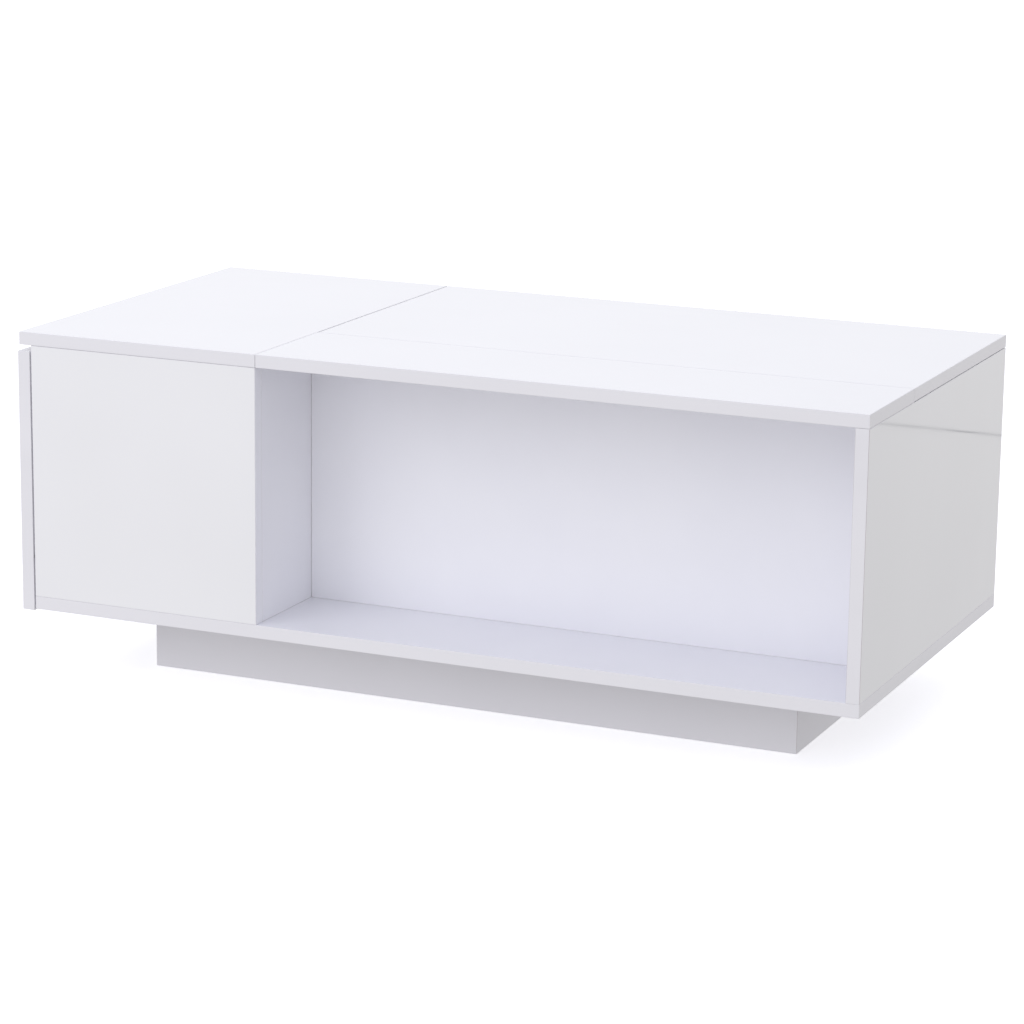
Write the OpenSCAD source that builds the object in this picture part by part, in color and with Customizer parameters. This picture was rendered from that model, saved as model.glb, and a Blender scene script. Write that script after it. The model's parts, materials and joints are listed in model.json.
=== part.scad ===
// Lift-top coffee table: a case on a recessed plinth, with an end drawer, an open shelf
// and a hidden compartment under a top panel that rises on sprung parallel arms.
// Millimetres. +X runs to the right end, +Y to the back, +Z up.
// The origin is on the floor, under the middle of the table.

/* [Table] */
// Overall length, from the drawer front to the right end
table_l = 1000; // [960:10:1100]
// Overall depth, front to back
table_d = 500; // [500:10:560]
// Overall height
table_h = 400; // [400:5:430]
// Thickness of the case boards
board_t = 15; // [15:0.5:16]

/* [Cabinet, shelf and plinth] */
// Length of the drawer cabinet over its front panel
cabinet_l = 283; // [283:1:320]
// Depth of the open shelf
shelf_d = 135; // [120:5:150]
// Height of the plinth
plinth_h = 80; // [60:5:80]
// Distance from the case's edges in to the plinth
plinth_inset = 100; // [60:5:120]

/* [Drawer] */
// Height of the drawer front
drawer_front_h = 300; // [280:5:300]
// How far the drawer front hangs below the case
drawer_drop = 2; // [0:0.5:4]
// Gap between the drawer front and the case
drawer_gap = 2; // [1.5:0.5:3]
// Height of the drawer's sides
drawer_side_h = 200; // [180:5:220]
// Thickness of the drawer's sides and back
drawer_side_t = 12; // [12:0.5:13]
// Length of the ball-bearing runners
runner_l = 250; // [240:5:250]
// How far the drawer pulls out
drawer_travel = 185; // [160:5:185]

/* [Lift mechanism] */
// Length of the arms between their pivots
arm_l = 180; // [170:5:180]
// Width of the arms
arm_w = 24; // [22:1:26]
// Angle that the arms turn through from closed to fully raised
lift_angle = 110; // [90:1:110]
// Turns in the moving part of each torsion spring
spring_turns = 4; // [3:1:4]

/* [Seams] */
// Seam between the fixed top panels
top_seam = 0.5; // [0.3:0.1:1]
// Gap in front of the lifting top
lift_front_gap = 0.5; // [0.5:0.1:2]
// Gap between the lifting top and the left top panel
lift_side_gap = 1.5; // [1:0.1:3]
// Thickness of the pads under the lifting top
lift_pad_t = 0.8; // [0.5:0.1:1.2]

/* [Hidden] */
$fn = 48;

// Finishes
gloss_white = "#F4F5F9";
satin_white = "#E6E7EC";
zinc = "#B9BDC2";
spring_steel = "#4A4C50";
nylon = "#F0F0EC";
rubber = "#1E1E20";
beech = "#D9B98A";
hardboard = "#DADBDF";

// Outer planes of the table
x_left = -table_l / 2;
x_right = table_l / 2;
y_front = -table_d / 2;
y_back = table_d / 2;

// Inner planes of the case
drawer_front_t = board_t;
case_left = x_left + drawer_front_t + drawer_gap;
floor_z = plinth_h + board_t;
roof_z = table_h - board_t;
front_in = y_front + board_t;
back_in = y_back - board_t;
right_in = x_right - board_t;
wall_x = case_left + cabinet_l;
wall_left = wall_x - board_t;
shelf_back_y = y_front + shelf_d;
strip_back = shelf_back_y + board_t;
half_t = board_t / 2;

// Boards of the case, each as its lowest and highest corners
bottom_box = [[case_left, y_front, plinth_h], [x_right, y_back, floor_z]];
right_side_box = [[right_in, y_front, floor_z], [x_right, y_back, roof_z]];
partition_box = [[wall_left, front_in, floor_z], [wall_x, back_in, roof_z]];
left_front_box = [[case_left, y_front, floor_z], [wall_x, front_in, roof_z]];
rear_box = [[case_left, back_in, floor_z], [right_in, y_back, roof_z]];
shelf_back_box = [[wall_x, shelf_back_y, floor_z], [right_in, strip_back, roof_z]];
left_top_box = [[x_left + drawer_gap, y_front, roof_z], [wall_x, y_back, table_h]];
strip_box = [[wall_x + top_seam, y_front, roof_z], [x_right, strip_back, table_h]];
lift_box = [
    [wall_x + lift_side_gap, strip_back + lift_front_gap, roof_z + lift_pad_t],
    [x_right, y_back, table_h]
];

// Boards of the drawer
runner_w = 12.5;
box_y = back_in - runner_w;
box_in_y = box_y - drawer_side_t;
drawer_x = x_left + drawer_front_t;
box_back_x = drawer_x + runner_l;
box_z = floor_z + 15;
box_top_z = box_z + drawer_side_h;
front_z = plinth_h - drawer_drop;
bottom_t = 3;
groove_z = box_z + 8;
groove_h = bottom_t + 0.2;
groove_d = 5;
drawer_front_box = [[x_left, y_front, front_z], [drawer_x, y_back, front_z + drawer_front_h]];
side_front_box = [[drawer_x, -box_y, box_z], [box_back_x, -box_in_y, box_top_z]];
side_back_box = [[drawer_x, box_in_y, box_z], [box_back_x, box_y, box_top_z]];
drawer_back_box = [
    [box_back_x - drawer_side_t, -box_in_y, groove_z + groove_h],
    [box_back_x, box_in_y, box_top_z]
];
drawer_bottom_box = [
    [drawer_x - groove_d, -box_in_y - groove_d + 0.5, groove_z + 0.1],
    [box_back_x - 1, box_in_y + groove_d - 0.5, groove_z + 0.1 + bottom_t]
];

// Runners: heights are measured from the runner's middle
runner_z = box_z + drawer_side_h / 2;
steel_t = 1.2;
outer_h = 17.5;
inner_h = 12.7;
ball_r = 1.75;
ball_h = 14.5;
ball_y = 5.4;
cage_l = 56;
ball_pitch = 15;
case_runner_x = case_left + 2;
drawer_runner_x = drawer_x + 1;
drawer_runner_l = runner_l - 1;
cage_x = (case_runner_x + drawer_runner_x + drawer_runner_l) / 2;

// Plinth
plinth_left = case_left + plinth_inset;
plinth_right = x_right - plinth_inset;
plinth_front = y_front + plinth_inset;
plinth_back = y_back - plinth_inset;
block_w = 30;
block_h = 60;
brace_x = (plinth_left + plinth_right) / 2;
brace_gap = 15;

// Lift mechanism: each place is [y, z], and s is the distance in from the case wall
plate_t = 2.5;
arm_s = 4;
arm_t = 3;
bracket_s = 8.5;
washer_t = 1.4;
pin_r = 4;
running = 0.05;
open_pivot_gap = 0.3;
pivot_step = [60, 42];
base_front = [back_in - 125, roof_z - 65];
base_rear = base_front + pivot_step;
tip_front = base_front - [arm_l, 0];
tip_rear = base_rear - [arm_l, 0];
plate_lo = base_front - [22, 22];
plate_hi = base_rear + [36, 18];
stop_r = 4;
raised = 180 - lift_angle;
stop_at = base_rear + 14 * [cos(raised), sin(raised)]
    + (arm_w / 2 + stop_r + 0.2) * [sin(raised), -cos(raised)];
flange_w = 26;
flange_y = [tip_front[0] - 18, tip_rear[0] + 22];
lift_under = roof_z + lift_pad_t;

// Torsion springs round the front arms' base pivots
wire_r = 1.5;
coil_r = 8;
coil_pitch = 3.2;
coil_s = 10.4;
coil_end = coil_s + spring_turns * coil_pitch;
anchor_s = coil_end + coil_pitch;
bush_l = anchor_s + wire_r + 0.4 - bracket_s - 0.1;
leg_l = 60;
anchor_leg = 52;
peg_r = 2.5;
peg_at = base_front + [44, -coil_r + wire_r + peg_r + 0.1];

// Flat-pack fittings
cam_r = 7.5;
cam_at = 34;
cam_skin = 2.5;
bolt_r = 2.5;
bolt_in = 10;
dowel_r = 4;
dowel_l = 30;
dowel_in = 9.5;
play = 0.05;
X = [1, 0, 0];
Y = [0, 1, 0];
Z = [0, 0, 1];

// A cam joint is [point where the boards meet, way into the edge, way to the cam's face, thickness]
function cams_x(xs, y, z, d, n) = [for (x = xs) [[x, y, z], d, n, board_t]];
function cams_y(x, ys, z, d, n) = [for (y = ys) [[x, y, z], d, n, board_t]];
function cams_z(x, y, zs, d, n) = [for (z = zs) [[x, y, z], d, n, board_t]];

cabinet_xs = [case_left + 43, wall_x - 50];
bay_l = right_in - wall_x;
bay_xs = [wall_x + 80, wall_x + bay_l / 2, right_in - 85];
low_high = [floor_z + 65, roof_z - 65];
case_cams = concat(
    cams_y(x_right - half_t, [strip_back + 30, 60, back_in - 45], floor_z, Z, -X),
    cams_y(wall_x - half_t, [-150, 0, 150], floor_z, Z, -X),
    cams_x(cabinet_xs, y_front + half_t, floor_z, Z, Y),
    cams_x(concat(cabinet_xs, bay_xs), y_back - half_t, floor_z, Z, -Y),
    cams_x(bay_xs, shelf_back_y + half_t, floor_z, Z, Y),
    cams_x(cabinet_xs, y_front + half_t, roof_z, -Z, Y),
    cams_x(cabinet_xs, y_back - half_t, roof_z, -Z, -Y),
    cams_y(wall_x - half_t, [-150, 150], roof_z, -Z, -X),
    cams_x(bay_xs, shelf_back_y + half_t, roof_z, -Z, Y),
    cams_z(right_in, y_back - half_t, low_high, -X, -Y),
    cams_z(right_in, shelf_back_y + half_t, low_high, -X, Y),
    cams_z(wall_x, shelf_back_y + half_t, low_high, X, Y),
    cams_z(wall_x - half_t, back_in, low_high, -Y, -X),
    cams_z(wall_x - half_t, front_in, low_high, Y, -X)
);
bay_cams = [for (c = case_cams) if ((c[0] + cam_at * c[1])[0] > wall_x && c[2] != X) c];
side_mid = (box_y + box_in_y) / 2;
drawer_zs = [box_z + 30, box_top_z - 25];
drawer_cams = [
    for (side = [-1, 1])
        for (z = drawer_zs)
            [[drawer_x, side * side_mid, z], X, side * Y, drawer_side_t]
];

// A dowel is [point where the boards meet, way into the edge]
function dowels_x(xs, y, z, d) = [for (x = xs) [[x, y, z], d]];
function dowels_y(x, ys, z, d) = [for (y = ys) [[x, y, z], d]];
function dowels_z(x, y, zs, d) = [for (z = zs) [[x, y, z], d]];

cabinet_dowel_xs = [case_left + 83, case_left + 138, wall_x - 90];
bay_dowel_xs = [wall_x + 120, wall_x + bay_l / 2 + 60, right_in - 45];
mid_z = (floor_z + roof_z) / 2;
case_dowels = concat(
    dowels_y(x_right - half_t, [y_front + 30, y_front + 90, 0, 120], floor_z, Z),
    dowels_y(wall_x - half_t, [-200, -75, 75, 200], floor_z, Z),
    dowels_x(cabinet_dowel_xs, y_front + half_t, floor_z, Z),
    dowels_x(concat(cabinet_dowel_xs, bay_dowel_xs), y_back - half_t, floor_z, Z),
    dowels_x(bay_dowel_xs, shelf_back_y + half_t, floor_z, Z),
    dowels_x(cabinet_dowel_xs, y_front + half_t, roof_z, -Z),
    dowels_x(cabinet_dowel_xs, y_back - half_t, roof_z, -Z),
    dowels_y(wall_x - half_t, [-75, 0, 75], roof_z, -Z),
    dowels_x(bay_dowel_xs, shelf_back_y + half_t, roof_z, -Z),
    dowels_y(x_right - half_t, [y_front + 30, strip_back - 40], roof_z, -Z),
    dowels_y(wall_x, [y_front + 35, strip_back - 35], roof_z + half_t, X),
    dowels_z(right_in, y_back - half_t, [mid_z], -X),
    dowels_z(right_in, shelf_back_y + half_t, [mid_z], -X),
    dowels_z(wall_x, shelf_back_y + half_t, [mid_z], X),
    dowels_z(wall_x - half_t, back_in, [mid_z], -Y),
    dowels_z(wall_x - half_t, front_in, [mid_z], Y)
);
drawer_dowels = [for (side = [-1, 1]) [[drawer_x, side * side_mid, drawer_zs[0] + 30], X]];
plinth_dowels = [
    for (side = [-1, 1])
        for (z = [35, plinth_h - 20])
            [[brace_x, side * (plinth_back - board_t), z], -side * Y]
];

// A screw is [point on the face it bites into, way in, grip, bite, head: "flat" or "pan"]
screw_r = 1.75;
head_r = 3.4;
flat_head_h = 1.65;
pan_head_h = 2;
runner_holes = [20, 120, 226];
case_runner_screws = [
    for (side = [-1, 1])
        for (x = runner_holes)
            [[case_runner_x + x, side * back_in, runner_z], side * Y, steel_t, 11.5, "flat"]
];
drawer_runner_screws = [
    for (side = [-1, 1])
        for (x = runner_holes)
            [[drawer_runner_x + x, side * box_y, runner_z], -side * Y, steel_t, 9.5, "flat"]
];
back_x = box_back_x - drawer_side_t / 2;
drawer_screws = concat(
    [
        for (side = [-1, 1])
            for (z = [box_z + 50, box_top_z - 30])
                [[back_x, side * box_in_y, z], -side * Y, drawer_side_t, 25, "flat"]
    ],
    [for (y = [-150, 0, 150]) [[back_x, y, groove_z + groove_h], Z, groove_h, 12, "pan"]]
);
plate_screws = [
    plate_lo + [9, 8],
    [plate_hi[0] - 9, plate_lo[1] + 8],
    [plate_lo[0] + 9, plate_hi[1] - 9],
    [plate_hi[0] - 9, plate_lo[1] + 42]
];
base_bracket_screws = concat(
    [for (p = plate_screws) [[wall_x, p[0], p[1]], -X, plate_t, 11, "flat"]],
    [for (p = plate_screws) [[right_in, p[0], p[1]], X, plate_t, 11, "flat"]]
);
flange_s = bracket_s + flange_w - 9;
flange_screw_ys = [flange_y[0] + 12, (flange_y[0] + flange_y[1]) / 2, flange_y[1] - 12];
top_bracket_screws = [
    for (x = [wall_x + flange_s, right_in - flange_s])
        for (y = flange_screw_ys)
            [[x, y, lift_under], Z, plate_t, 10, "flat"]
];
block_c = board_t + block_w / 2;
plinth_screws = [
    for (x = [plinth_left + block_c, plinth_right - block_c])
        for (y = [plinth_front + block_c, plinth_back - block_c])
            [[x, y, plinth_h], Z, 20, 12, "pan"]
];
all_cams = concat(case_cams, drawer_cams);
all_dowels = concat(case_dowels, drawer_dowels, plinth_dowels);
all_screws = concat(
    case_runner_screws,
    drawer_runner_screws,
    drawer_screws,
    base_bracket_screws,
    top_bracket_screws,
    plinth_screws
);

// Turns +Z to the way d and moves to p
module along(p, d) {
    translate(p)
        rotate([0, acos(d[2]), atan2(d[1], d[0])])
            children();
}

module box(corners) {
    translate(corners[0])
        cube(corners[1] - corners[0]);
}

// True where p lies in or on the box, or within a seam's width of it
function on_box(p, corners) =
    min([for (i = [0:2]) min(p[i] - corners[0][i], corners[1][i] - p[i])]) > -top_seam - 0.1;

// Solid of a cam joint's drilling: the cam's pocket, the bolt's way and its threaded hole
module cam_drilling(c) {
    translate(c[0] + cam_at * c[1])
        along(c[2] * (c[3] / 2 - c[3] + cam_skin), c[2])
            cylinder(h = c[3], r = cam_r);
    along(c[0], c[1])
        cylinder(h = cam_at, r = dowel_r);
    along(c[0] - (bolt_in + 0.5) * c[1], c[1])
        cylinder(h = bolt_in + 1, r = bolt_r);
}

module dowel(d, gap = 0) {
    along(d[0] - (dowel_in + 5 * gap) * d[1], d[1])
        cylinder(h = dowel_l + 10 * gap, r = dowel_r + gap);
}

// A screw, or its drilling where gap is above 0
module screw(s, gap = 0) {
    along(s[0] - s[2] * s[1], s[1]) {
        cylinder(h = s[2] + s[3] + gap, r = screw_r + gap, $fn = 24);
        if (s[4] == "flat")
            cylinder(
                h = min(flat_head_h, s[2]),
                r1 = head_r + gap,
                r2 = head_r - min(flat_head_h, s[2]) + gap
            );
        if (s[4] == "pan" && gap == 0)
            translate([0, 0, -pan_head_h])
                difference() {
                    cylinder(h = pan_head_h, r = head_r);
                    translate([-2, -0.5, -0.01])
                        cube([4, 1, 1]);
                    translate([-0.5, -2, -0.01])
                        cube([1, 4, 1]);
                }
    }
}

// A board with every drilling that reaches it
module board(corners) {
    difference() {
        box(corners);
        for (c = all_cams)
            if (on_box(c[0], corners))
                cam_drilling(c);
        for (d = all_dowels)
            if (on_box(d[0], corners))
                dowel(d, play);
        for (s = all_screws)
            if (on_box(s[0], corners))
                screw(s, play);
    }
}

// Case
module bottom_board() {
    color(gloss_white)
        board(bottom_box);
}

module right_side_panel() {
    color(gloss_white)
        board(right_side_box);
}

module partition() {
    color(satin_white)
        board(partition_box);
}

module left_front_panel() {
    color(gloss_white)
        board(left_front_box);
}

module rear_panel() {
    color(gloss_white)
        board(rear_box);
}

module shelf_back_panel() {
    color(satin_white)
        board(shelf_back_box);
}

module left_top() {
    color(gloss_white)
        board(left_top_box);
}

module front_top_strip() {
    color(gloss_white)
        board(strip_box);
}

// Plinth: four boards mitred at the corners
module plinth_long(y_out, y_in) {
    difference() {
        linear_extrude(plinth_h)
            polygon([
                [plinth_left, y_out],
                [plinth_right, y_out],
                [plinth_right - board_t, y_in],
                [plinth_left + board_t, y_in]
            ]);
        for (d = plinth_dowels)
            dowel(d, play);
    }
}

module plinth_short(x_out, x_in) {
    linear_extrude(plinth_h)
        polygon([
            [x_out, plinth_front],
            [x_out, plinth_back],
            [x_in, plinth_back - board_t],
            [x_in, plinth_front + board_t]
        ]);
}

module plinth_front() {
    color(gloss_white)
        plinth_long(plinth_front, plinth_front + board_t);
}

module plinth_back() {
    color(gloss_white)
        plinth_long(plinth_back, plinth_back - board_t);
}

module plinth_left() {
    color(gloss_white)
        plinth_short(plinth_left, plinth_left + board_t);
}

module plinth_right() {
    color(gloss_white)
        plinth_short(plinth_right, plinth_right - board_t);
}

module plinth_brace() {
    brace_y = plinth_back - board_t;
    color(satin_white)
        difference() {
            box([
                [brace_x - half_t, -brace_y, brace_gap],
                [brace_x + half_t, brace_y, plinth_h]
            ]);
            for (d = plinth_dowels)
                dowel(d, play);
        }
}

module plinth_corner_blocks() {
    counterbore_h = block_h - 20;
    color(beech)
        for (s = plinth_screws)
            difference() {
                translate([s[0][0] - block_w / 2, s[0][1] - block_w / 2, plinth_h - block_h])
                    cube([block_w, block_w, block_h]);
                translate([s[0][0], s[0][1], plinth_h - block_h - 1])
                    cylinder(h = counterbore_h + 1, r = head_r + 1.5);
                screw(s, play);
            }
}

module plinth_screws() {
    color(zinc)
        for (s = plinth_screws)
            screw(s);
}

// Flat-pack fittings
module cam(c) {
    depth = c[3] - cam_skin;
    slot_l = 8;
    translate(c[0] + cam_at * c[1])
        difference() {
            along(c[2] * (c[3] / 2 - depth + 0.1), c[2])
                cylinder(h = depth - 0.3, r = cam_r - 0.2);
            along(-10 * c[1], c[1])
                cylinder(h = 15, r = 3.7);
            along(c[2] * (c[3] / 2 - 2), c[2])
                for (a = [0, 90])
                    rotate([0, 0, a + 45])
                        translate([-slot_l / 2, -0.8, 0])
                            cube([slot_l, 1.6, 3]);
        }
}

module cam_bolt(c) {
    along(c[0], c[1])
        rotate_extrude($fn = 32)
            polygon([
                [0, -bolt_in],
                [bolt_r - play, -bolt_in],
                [bolt_r - play, 0.2],
                [3.4, 0.2],
                [3.4, 2.4],
                [bolt_r, 3.2],
                [bolt_r, 27.5],
                [1.7, 28.3],
                [1.7, 31.5],
                [3.2, 32.6],
                [3.2, 36],
                [2.4, 37],
                [0, 37]
            ]);
}

module cam_locks() {
    color(zinc)
        for (c = case_cams)
            cam(c);
}

module cam_bolts() {
    color(zinc)
        for (c = case_cams)
            cam_bolt(c);
}

// Snap-on caps over the cams inside the hidden compartment
module cam_caps() {
    cap_r = 8.6;
    color(nylon)
        for (c = bay_cams)
            along(c[0] + cam_at * c[1] + c[2] * c[3] / 2, c[2]) {
                cylinder(h = 0.8, r = cap_r);
                translate([0, 0, 0.8])
                    cylinder(h = 0.5, r1 = cap_r, r2 = cap_r - 0.8);
            }
}

module dowels() {
    color(beech)
        for (d = concat(case_dowels, plinth_dowels))
            dowel(d);
}

// Drawer
module bottom_groove() {
    box([
        [drawer_x - groove_d - 1, -box_in_y - groove_d, groove_z],
        [box_back_x + 1, box_in_y + groove_d, groove_z + groove_h]
    ]);
}

module drawer_front() {
    color(gloss_white)
        difference() {
            board(drawer_front_box);
            bottom_groove();
        }
}

module drawer_side_front() {
    color(satin_white)
        difference() {
            board(side_front_box);
            bottom_groove();
        }
}

module drawer_side_back() {
    color(satin_white)
        difference() {
            board(side_back_box);
            bottom_groove();
        }
}

module drawer_back() {
    color(satin_white)
        board(drawer_back_box);
}

module drawer_bottom() {
    color(hardboard)
        difference() {
            box(drawer_bottom_box);
            for (s = drawer_screws)
                screw(s, play);
        }
}

module drawer_cam_locks() {
    color(zinc)
        for (c = drawer_cams)
            cam(c);
}

module drawer_cam_bolts() {
    color(zinc)
        for (c = drawer_cams)
            cam_bolt(c);
}

module drawer_dowels() {
    color(beech)
        for (d = drawer_dowels)
            dowel(d);
}

module drawer_screws() {
    color(zinc)
        for (s = drawer_screws)
            screw(s);
}

// Pads on the case's left edges that the drawer front shuts against
module drawer_bumpers() {
    bumper_r = 4;
    bumper_in = 6;
    bumper_z = floor_z + 46;
    color(rubber)
        for (side = [-1, 1])
            along([case_left, side * (y_back - bumper_in), bumper_z], -X)
                cylinder(h = drawer_gap, r1 = bumper_r, r2 = bumper_r - 0.8);
}

// Ball-bearing runners, drawn for the front side as [depth from the wall, height]
module runner_bar(x, l, outline) {
    translate([x, -back_in, runner_z])
        rotate([90, 0, 90])
            linear_extrude(l)
                polygon(outline);
}

// One half of a channel's outline, and the other half mirrored below it
function both_halves(half) =
    concat(half, [for (i = [len(half) - 1:-1:0]) [half[i][0], -half[i][1]]]);

outer_outline = both_halves([
    [steel_t, outer_h - steel_t],
    [8.8, outer_h - steel_t],
    [8.8, outer_h - 3.2],
    [10, outer_h - 3.2],
    [10, outer_h],
    [0, outer_h]
]);
inner_outline = both_halves([
    [runner_w - steel_t, inner_h - steel_t],
    [3, inner_h - steel_t],
    [3, inner_h],
    [runner_w, inner_h]
]);
cage_outline = both_halves([
    [2.2, ball_h - 0.3],
    [8.4, ball_h - 0.3],
    [8.4, ball_h + 0.3],
    [1.6, ball_h + 0.3]
]);

module case_runner() {
    color(zinc)
        difference() {
            runner_bar(case_runner_x, runner_l, outer_outline);
            for (s = case_runner_screws)
                screw(s, play);
        }
}

module drawer_runner() {
    color(zinc)
        difference() {
            runner_bar(drawer_runner_x, drawer_runner_l, inner_outline);
            for (s = drawer_runner_screws)
                screw(s, play);
        }
}

module at_each_ball() {
    for (i = [-1.5:1.5])
        for (h = [-ball_h, ball_h])
            translate([cage_x + i * ball_pitch, ball_y - back_in, runner_z + h])
                children();
}

module ball_cage() {
    color(zinc)
        difference() {
            runner_bar(cage_x - cage_l / 2, cage_l, cage_outline);
            at_each_ball()
                cylinder(h = 2, r = ball_r + 0.15, center = true, $fn = 24);
        }
}

module runner_balls() {
    color(zinc)
        at_each_ball()
            sphere(r = ball_r, $fn = 24);
}

module case_runner_front() {
    case_runner();
}

module case_runner_back() {
    mirror([0, 1, 0])
        case_runner();
}

module drawer_runner_front() {
    drawer_runner();
}

module drawer_runner_back() {
    mirror([0, 1, 0])
        drawer_runner();
}

module ball_cage_front() {
    ball_cage();
}

module ball_cage_back() {
    mirror([0, 1, 0])
        ball_cage();
}

module runner_balls_front() {
    runner_balls();
}

module runner_balls_back() {
    mirror([0, 1, 0])
        runner_balls();
}

module case_runner_screws() {
    color(zinc)
        for (s = case_runner_screws)
            screw(s);
}

module drawer_runner_screws() {
    color(zinc)
        for (s = drawer_runner_screws)
            screw(s);
}

// Lifting top and the pads it shuts on
module lift_top() {
    color(gloss_white)
        board(lift_box);
}

module lift_pads() {
    pad_r = 4;
    color(nylon)
        for (p = concat(
            [for (y = [strip_back + 40, 75, y_back - 30]) [x_right - half_t, y]],
            [for (x = [wall_x + 60, wall_x + bay_l / 2, right_in - 60]) [x, y_back - half_t]]
        ))
            translate([p[0], p[1], roof_z])
                cylinder(h = lift_pad_t, r = pad_r);
}

// Lift mechanism. A left-hand piece is drawn from the partition inwards and mirrored for the right
module on_left() {
    translate([wall_x, 0, 0])
        children();
}

module on_right() {
    translate([right_in, 0, 0])
        mirror([1, 0, 0])
            children();
}

module on_both() {
    on_left()
        children();
    on_right()
        children();
}

// A plate of thickness t at s, its outline drawn as [y, z]
module plate(s, t) {
    translate([s, 0, 0])
        rotate([90, 0, 90])
            linear_extrude(t)
                children();
}

// A round bar of length l from s, at [y, z]
module bar(s, l, at, r) {
    translate([s, at[0], at[1]])
        rotate([0, 90, 0])
            cylinder(h = l, r = r);
}

module rounded_rect(lo, hi, r) {
    for (y = [lo[0] + r, hi[0] - r])
        for (z = [lo[1] + r, hi[1] - r])
            translate([y, z])
                circle(r = r);
    translate(lo + [r, 0])
        square(hi - lo - [2 * r, 0]);
    translate(lo + [0, r])
        square(hi - lo - [0, 2 * r]);
}

module base_bracket() {
    difference() {
        union() {
            plate(0, plate_t)
                rounded_rect(plate_lo, plate_hi, 9);
            bar(plate_t - 0.5, arm_s + arm_t + 1 - plate_t, stop_at, stop_r);
            bar(plate_t - 0.5, anchor_s + 4 - plate_t, peg_at, peg_r);
        }
        for (p = [base_front, base_rear])
            bar(-1, plate_t + 2, p, pin_r + 0.01);
        translate([-wall_x, 0, 0])
            for (s = base_bracket_screws)
                screw(s, play);
    }
}

module base_bracket_left() {
    color(zinc)
        on_left()
            base_bracket();
}

module base_bracket_right() {
    color(zinc)
        on_right()
            base_bracket();
}

module top_bracket() {
    ear_r = 15;
    flange_z = lift_under - plate_t;
    difference() {
        union() {
            plate(bracket_s, plate_t) {
                translate(tip_front)
                    circle(r = ear_r);
                translate(tip_rear)
                    circle(r = ear_r);
                polygon([
                    [tip_front[0] - ear_r, tip_front[1]],
                    [tip_front[0] + 8, tip_front[1] - 12.7],
                    [tip_rear[0] + 8, tip_rear[1] - 12.7],
                    [tip_rear[0] + ear_r, tip_rear[1]],
                    [tip_rear[0] + ear_r, flange_z + 0.5],
                    [tip_front[0] - ear_r, flange_z + 0.5]
                ]);
            }
            translate([bracket_s, flange_y[0], flange_z])
                cube([flange_w, flange_y[1] - flange_y[0], plate_t]);
        }
        for (p = [tip_front, tip_rear])
            bar(bracket_s - 1, plate_t + 2, p, pin_r + 0.01);
        translate([-wall_x, 0, 0])
            for (s = top_bracket_screws)
                screw(s, play);
    }
}

module top_bracket_left() {
    color(zinc)
        on_left()
            top_bracket();
}

module top_bracket_right() {
    color(zinc)
        on_right()
            top_bracket();
}

// An arm from its base pivot to its tip, with a running hole at the base
module arm(base, tip, tip_gap, leg_hole) {
    difference() {
        plate(arm_s, arm_t) {
            translate(base)
                circle(r = arm_w / 2);
            translate(tip)
                circle(r = arm_w / 2);
            translate(tip - [0, arm_w / 2])
                square([arm_l, arm_w]);
        }
        bar(arm_s - 1, arm_t + 2, base, pin_r + running);
        bar(arm_s - 1, arm_t + 2, tip, pin_r + tip_gap);
        if (leg_hole)
            bar(arm_s - 1, arm_t + 2, base - [leg_l, coil_r], wire_r + 0.3);
    }
}

module front_arm_left() {
    color(zinc)
        on_left()
            arm(base_front, tip_front, running, true);
}

module front_arm_right() {
    color(zinc)
        on_right()
            arm(base_front, tip_front, running, true);
}

module rear_arm_left() {
    color(zinc)
        on_left()
            arm(base_rear, tip_rear, open_pivot_gap, false);
}

module rear_arm_right() {
    color(zinc)
        on_right()
            arm(base_rear, tip_rear, open_pivot_gap, false);
}

module base_pivot_pins() {
    pin_head_r = 7;
    pin_head_t = 2;
    bush_end = bracket_s + 0.1 + bush_l;
    color(zinc)
        on_both() {
            bar(0, bush_end + 0.1 + pin_head_t, base_front, pin_r);
            bar(bush_end + 0.1, pin_head_t, base_front, pin_head_r);
            bar(0, bracket_s + pin_head_t, base_rear, pin_r);
            bar(bracket_s, pin_head_t, base_rear, pin_head_r);
        }
}

module top_pivot_pins() {
    pin_head_r = 6.5;
    pin_head_t = 1.8;
    color(zinc)
        on_both()
            for (p = [tip_front, tip_rear]) {
                bar(arm_s - 0.2 - pin_head_t, pin_head_t, p, pin_head_r);
                bar(arm_s - 0.3, bracket_s + plate_t - arm_s + 0.3, p, pin_r);
                bar(bracket_s + plate_t, pin_head_t, p, pin_head_r);
            }
}

module washer(s, at) {
    difference() {
        bar(s, washer_t, at, 8);
        bar(s - 1, washer_t + 2, at, pin_r + running);
    }
}

module base_washers() {
    color(nylon)
        on_both()
            for (p = [base_front, base_rear]) {
                washer(plate_t + 0.05, p);
                washer(arm_s + arm_t + 0.05, p);
            }
}

module top_washers() {
    color(nylon)
        on_both()
            for (p = [tip_front, tip_rear])
                washer(arm_s + arm_t + 0.05, p);
}

// The moving part of each torsion spring: a helix, and the leg that pushes its arm up
coil_steps = 24;
coil_sides = 8;
coil_rings = spring_turns * coil_steps;
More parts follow.
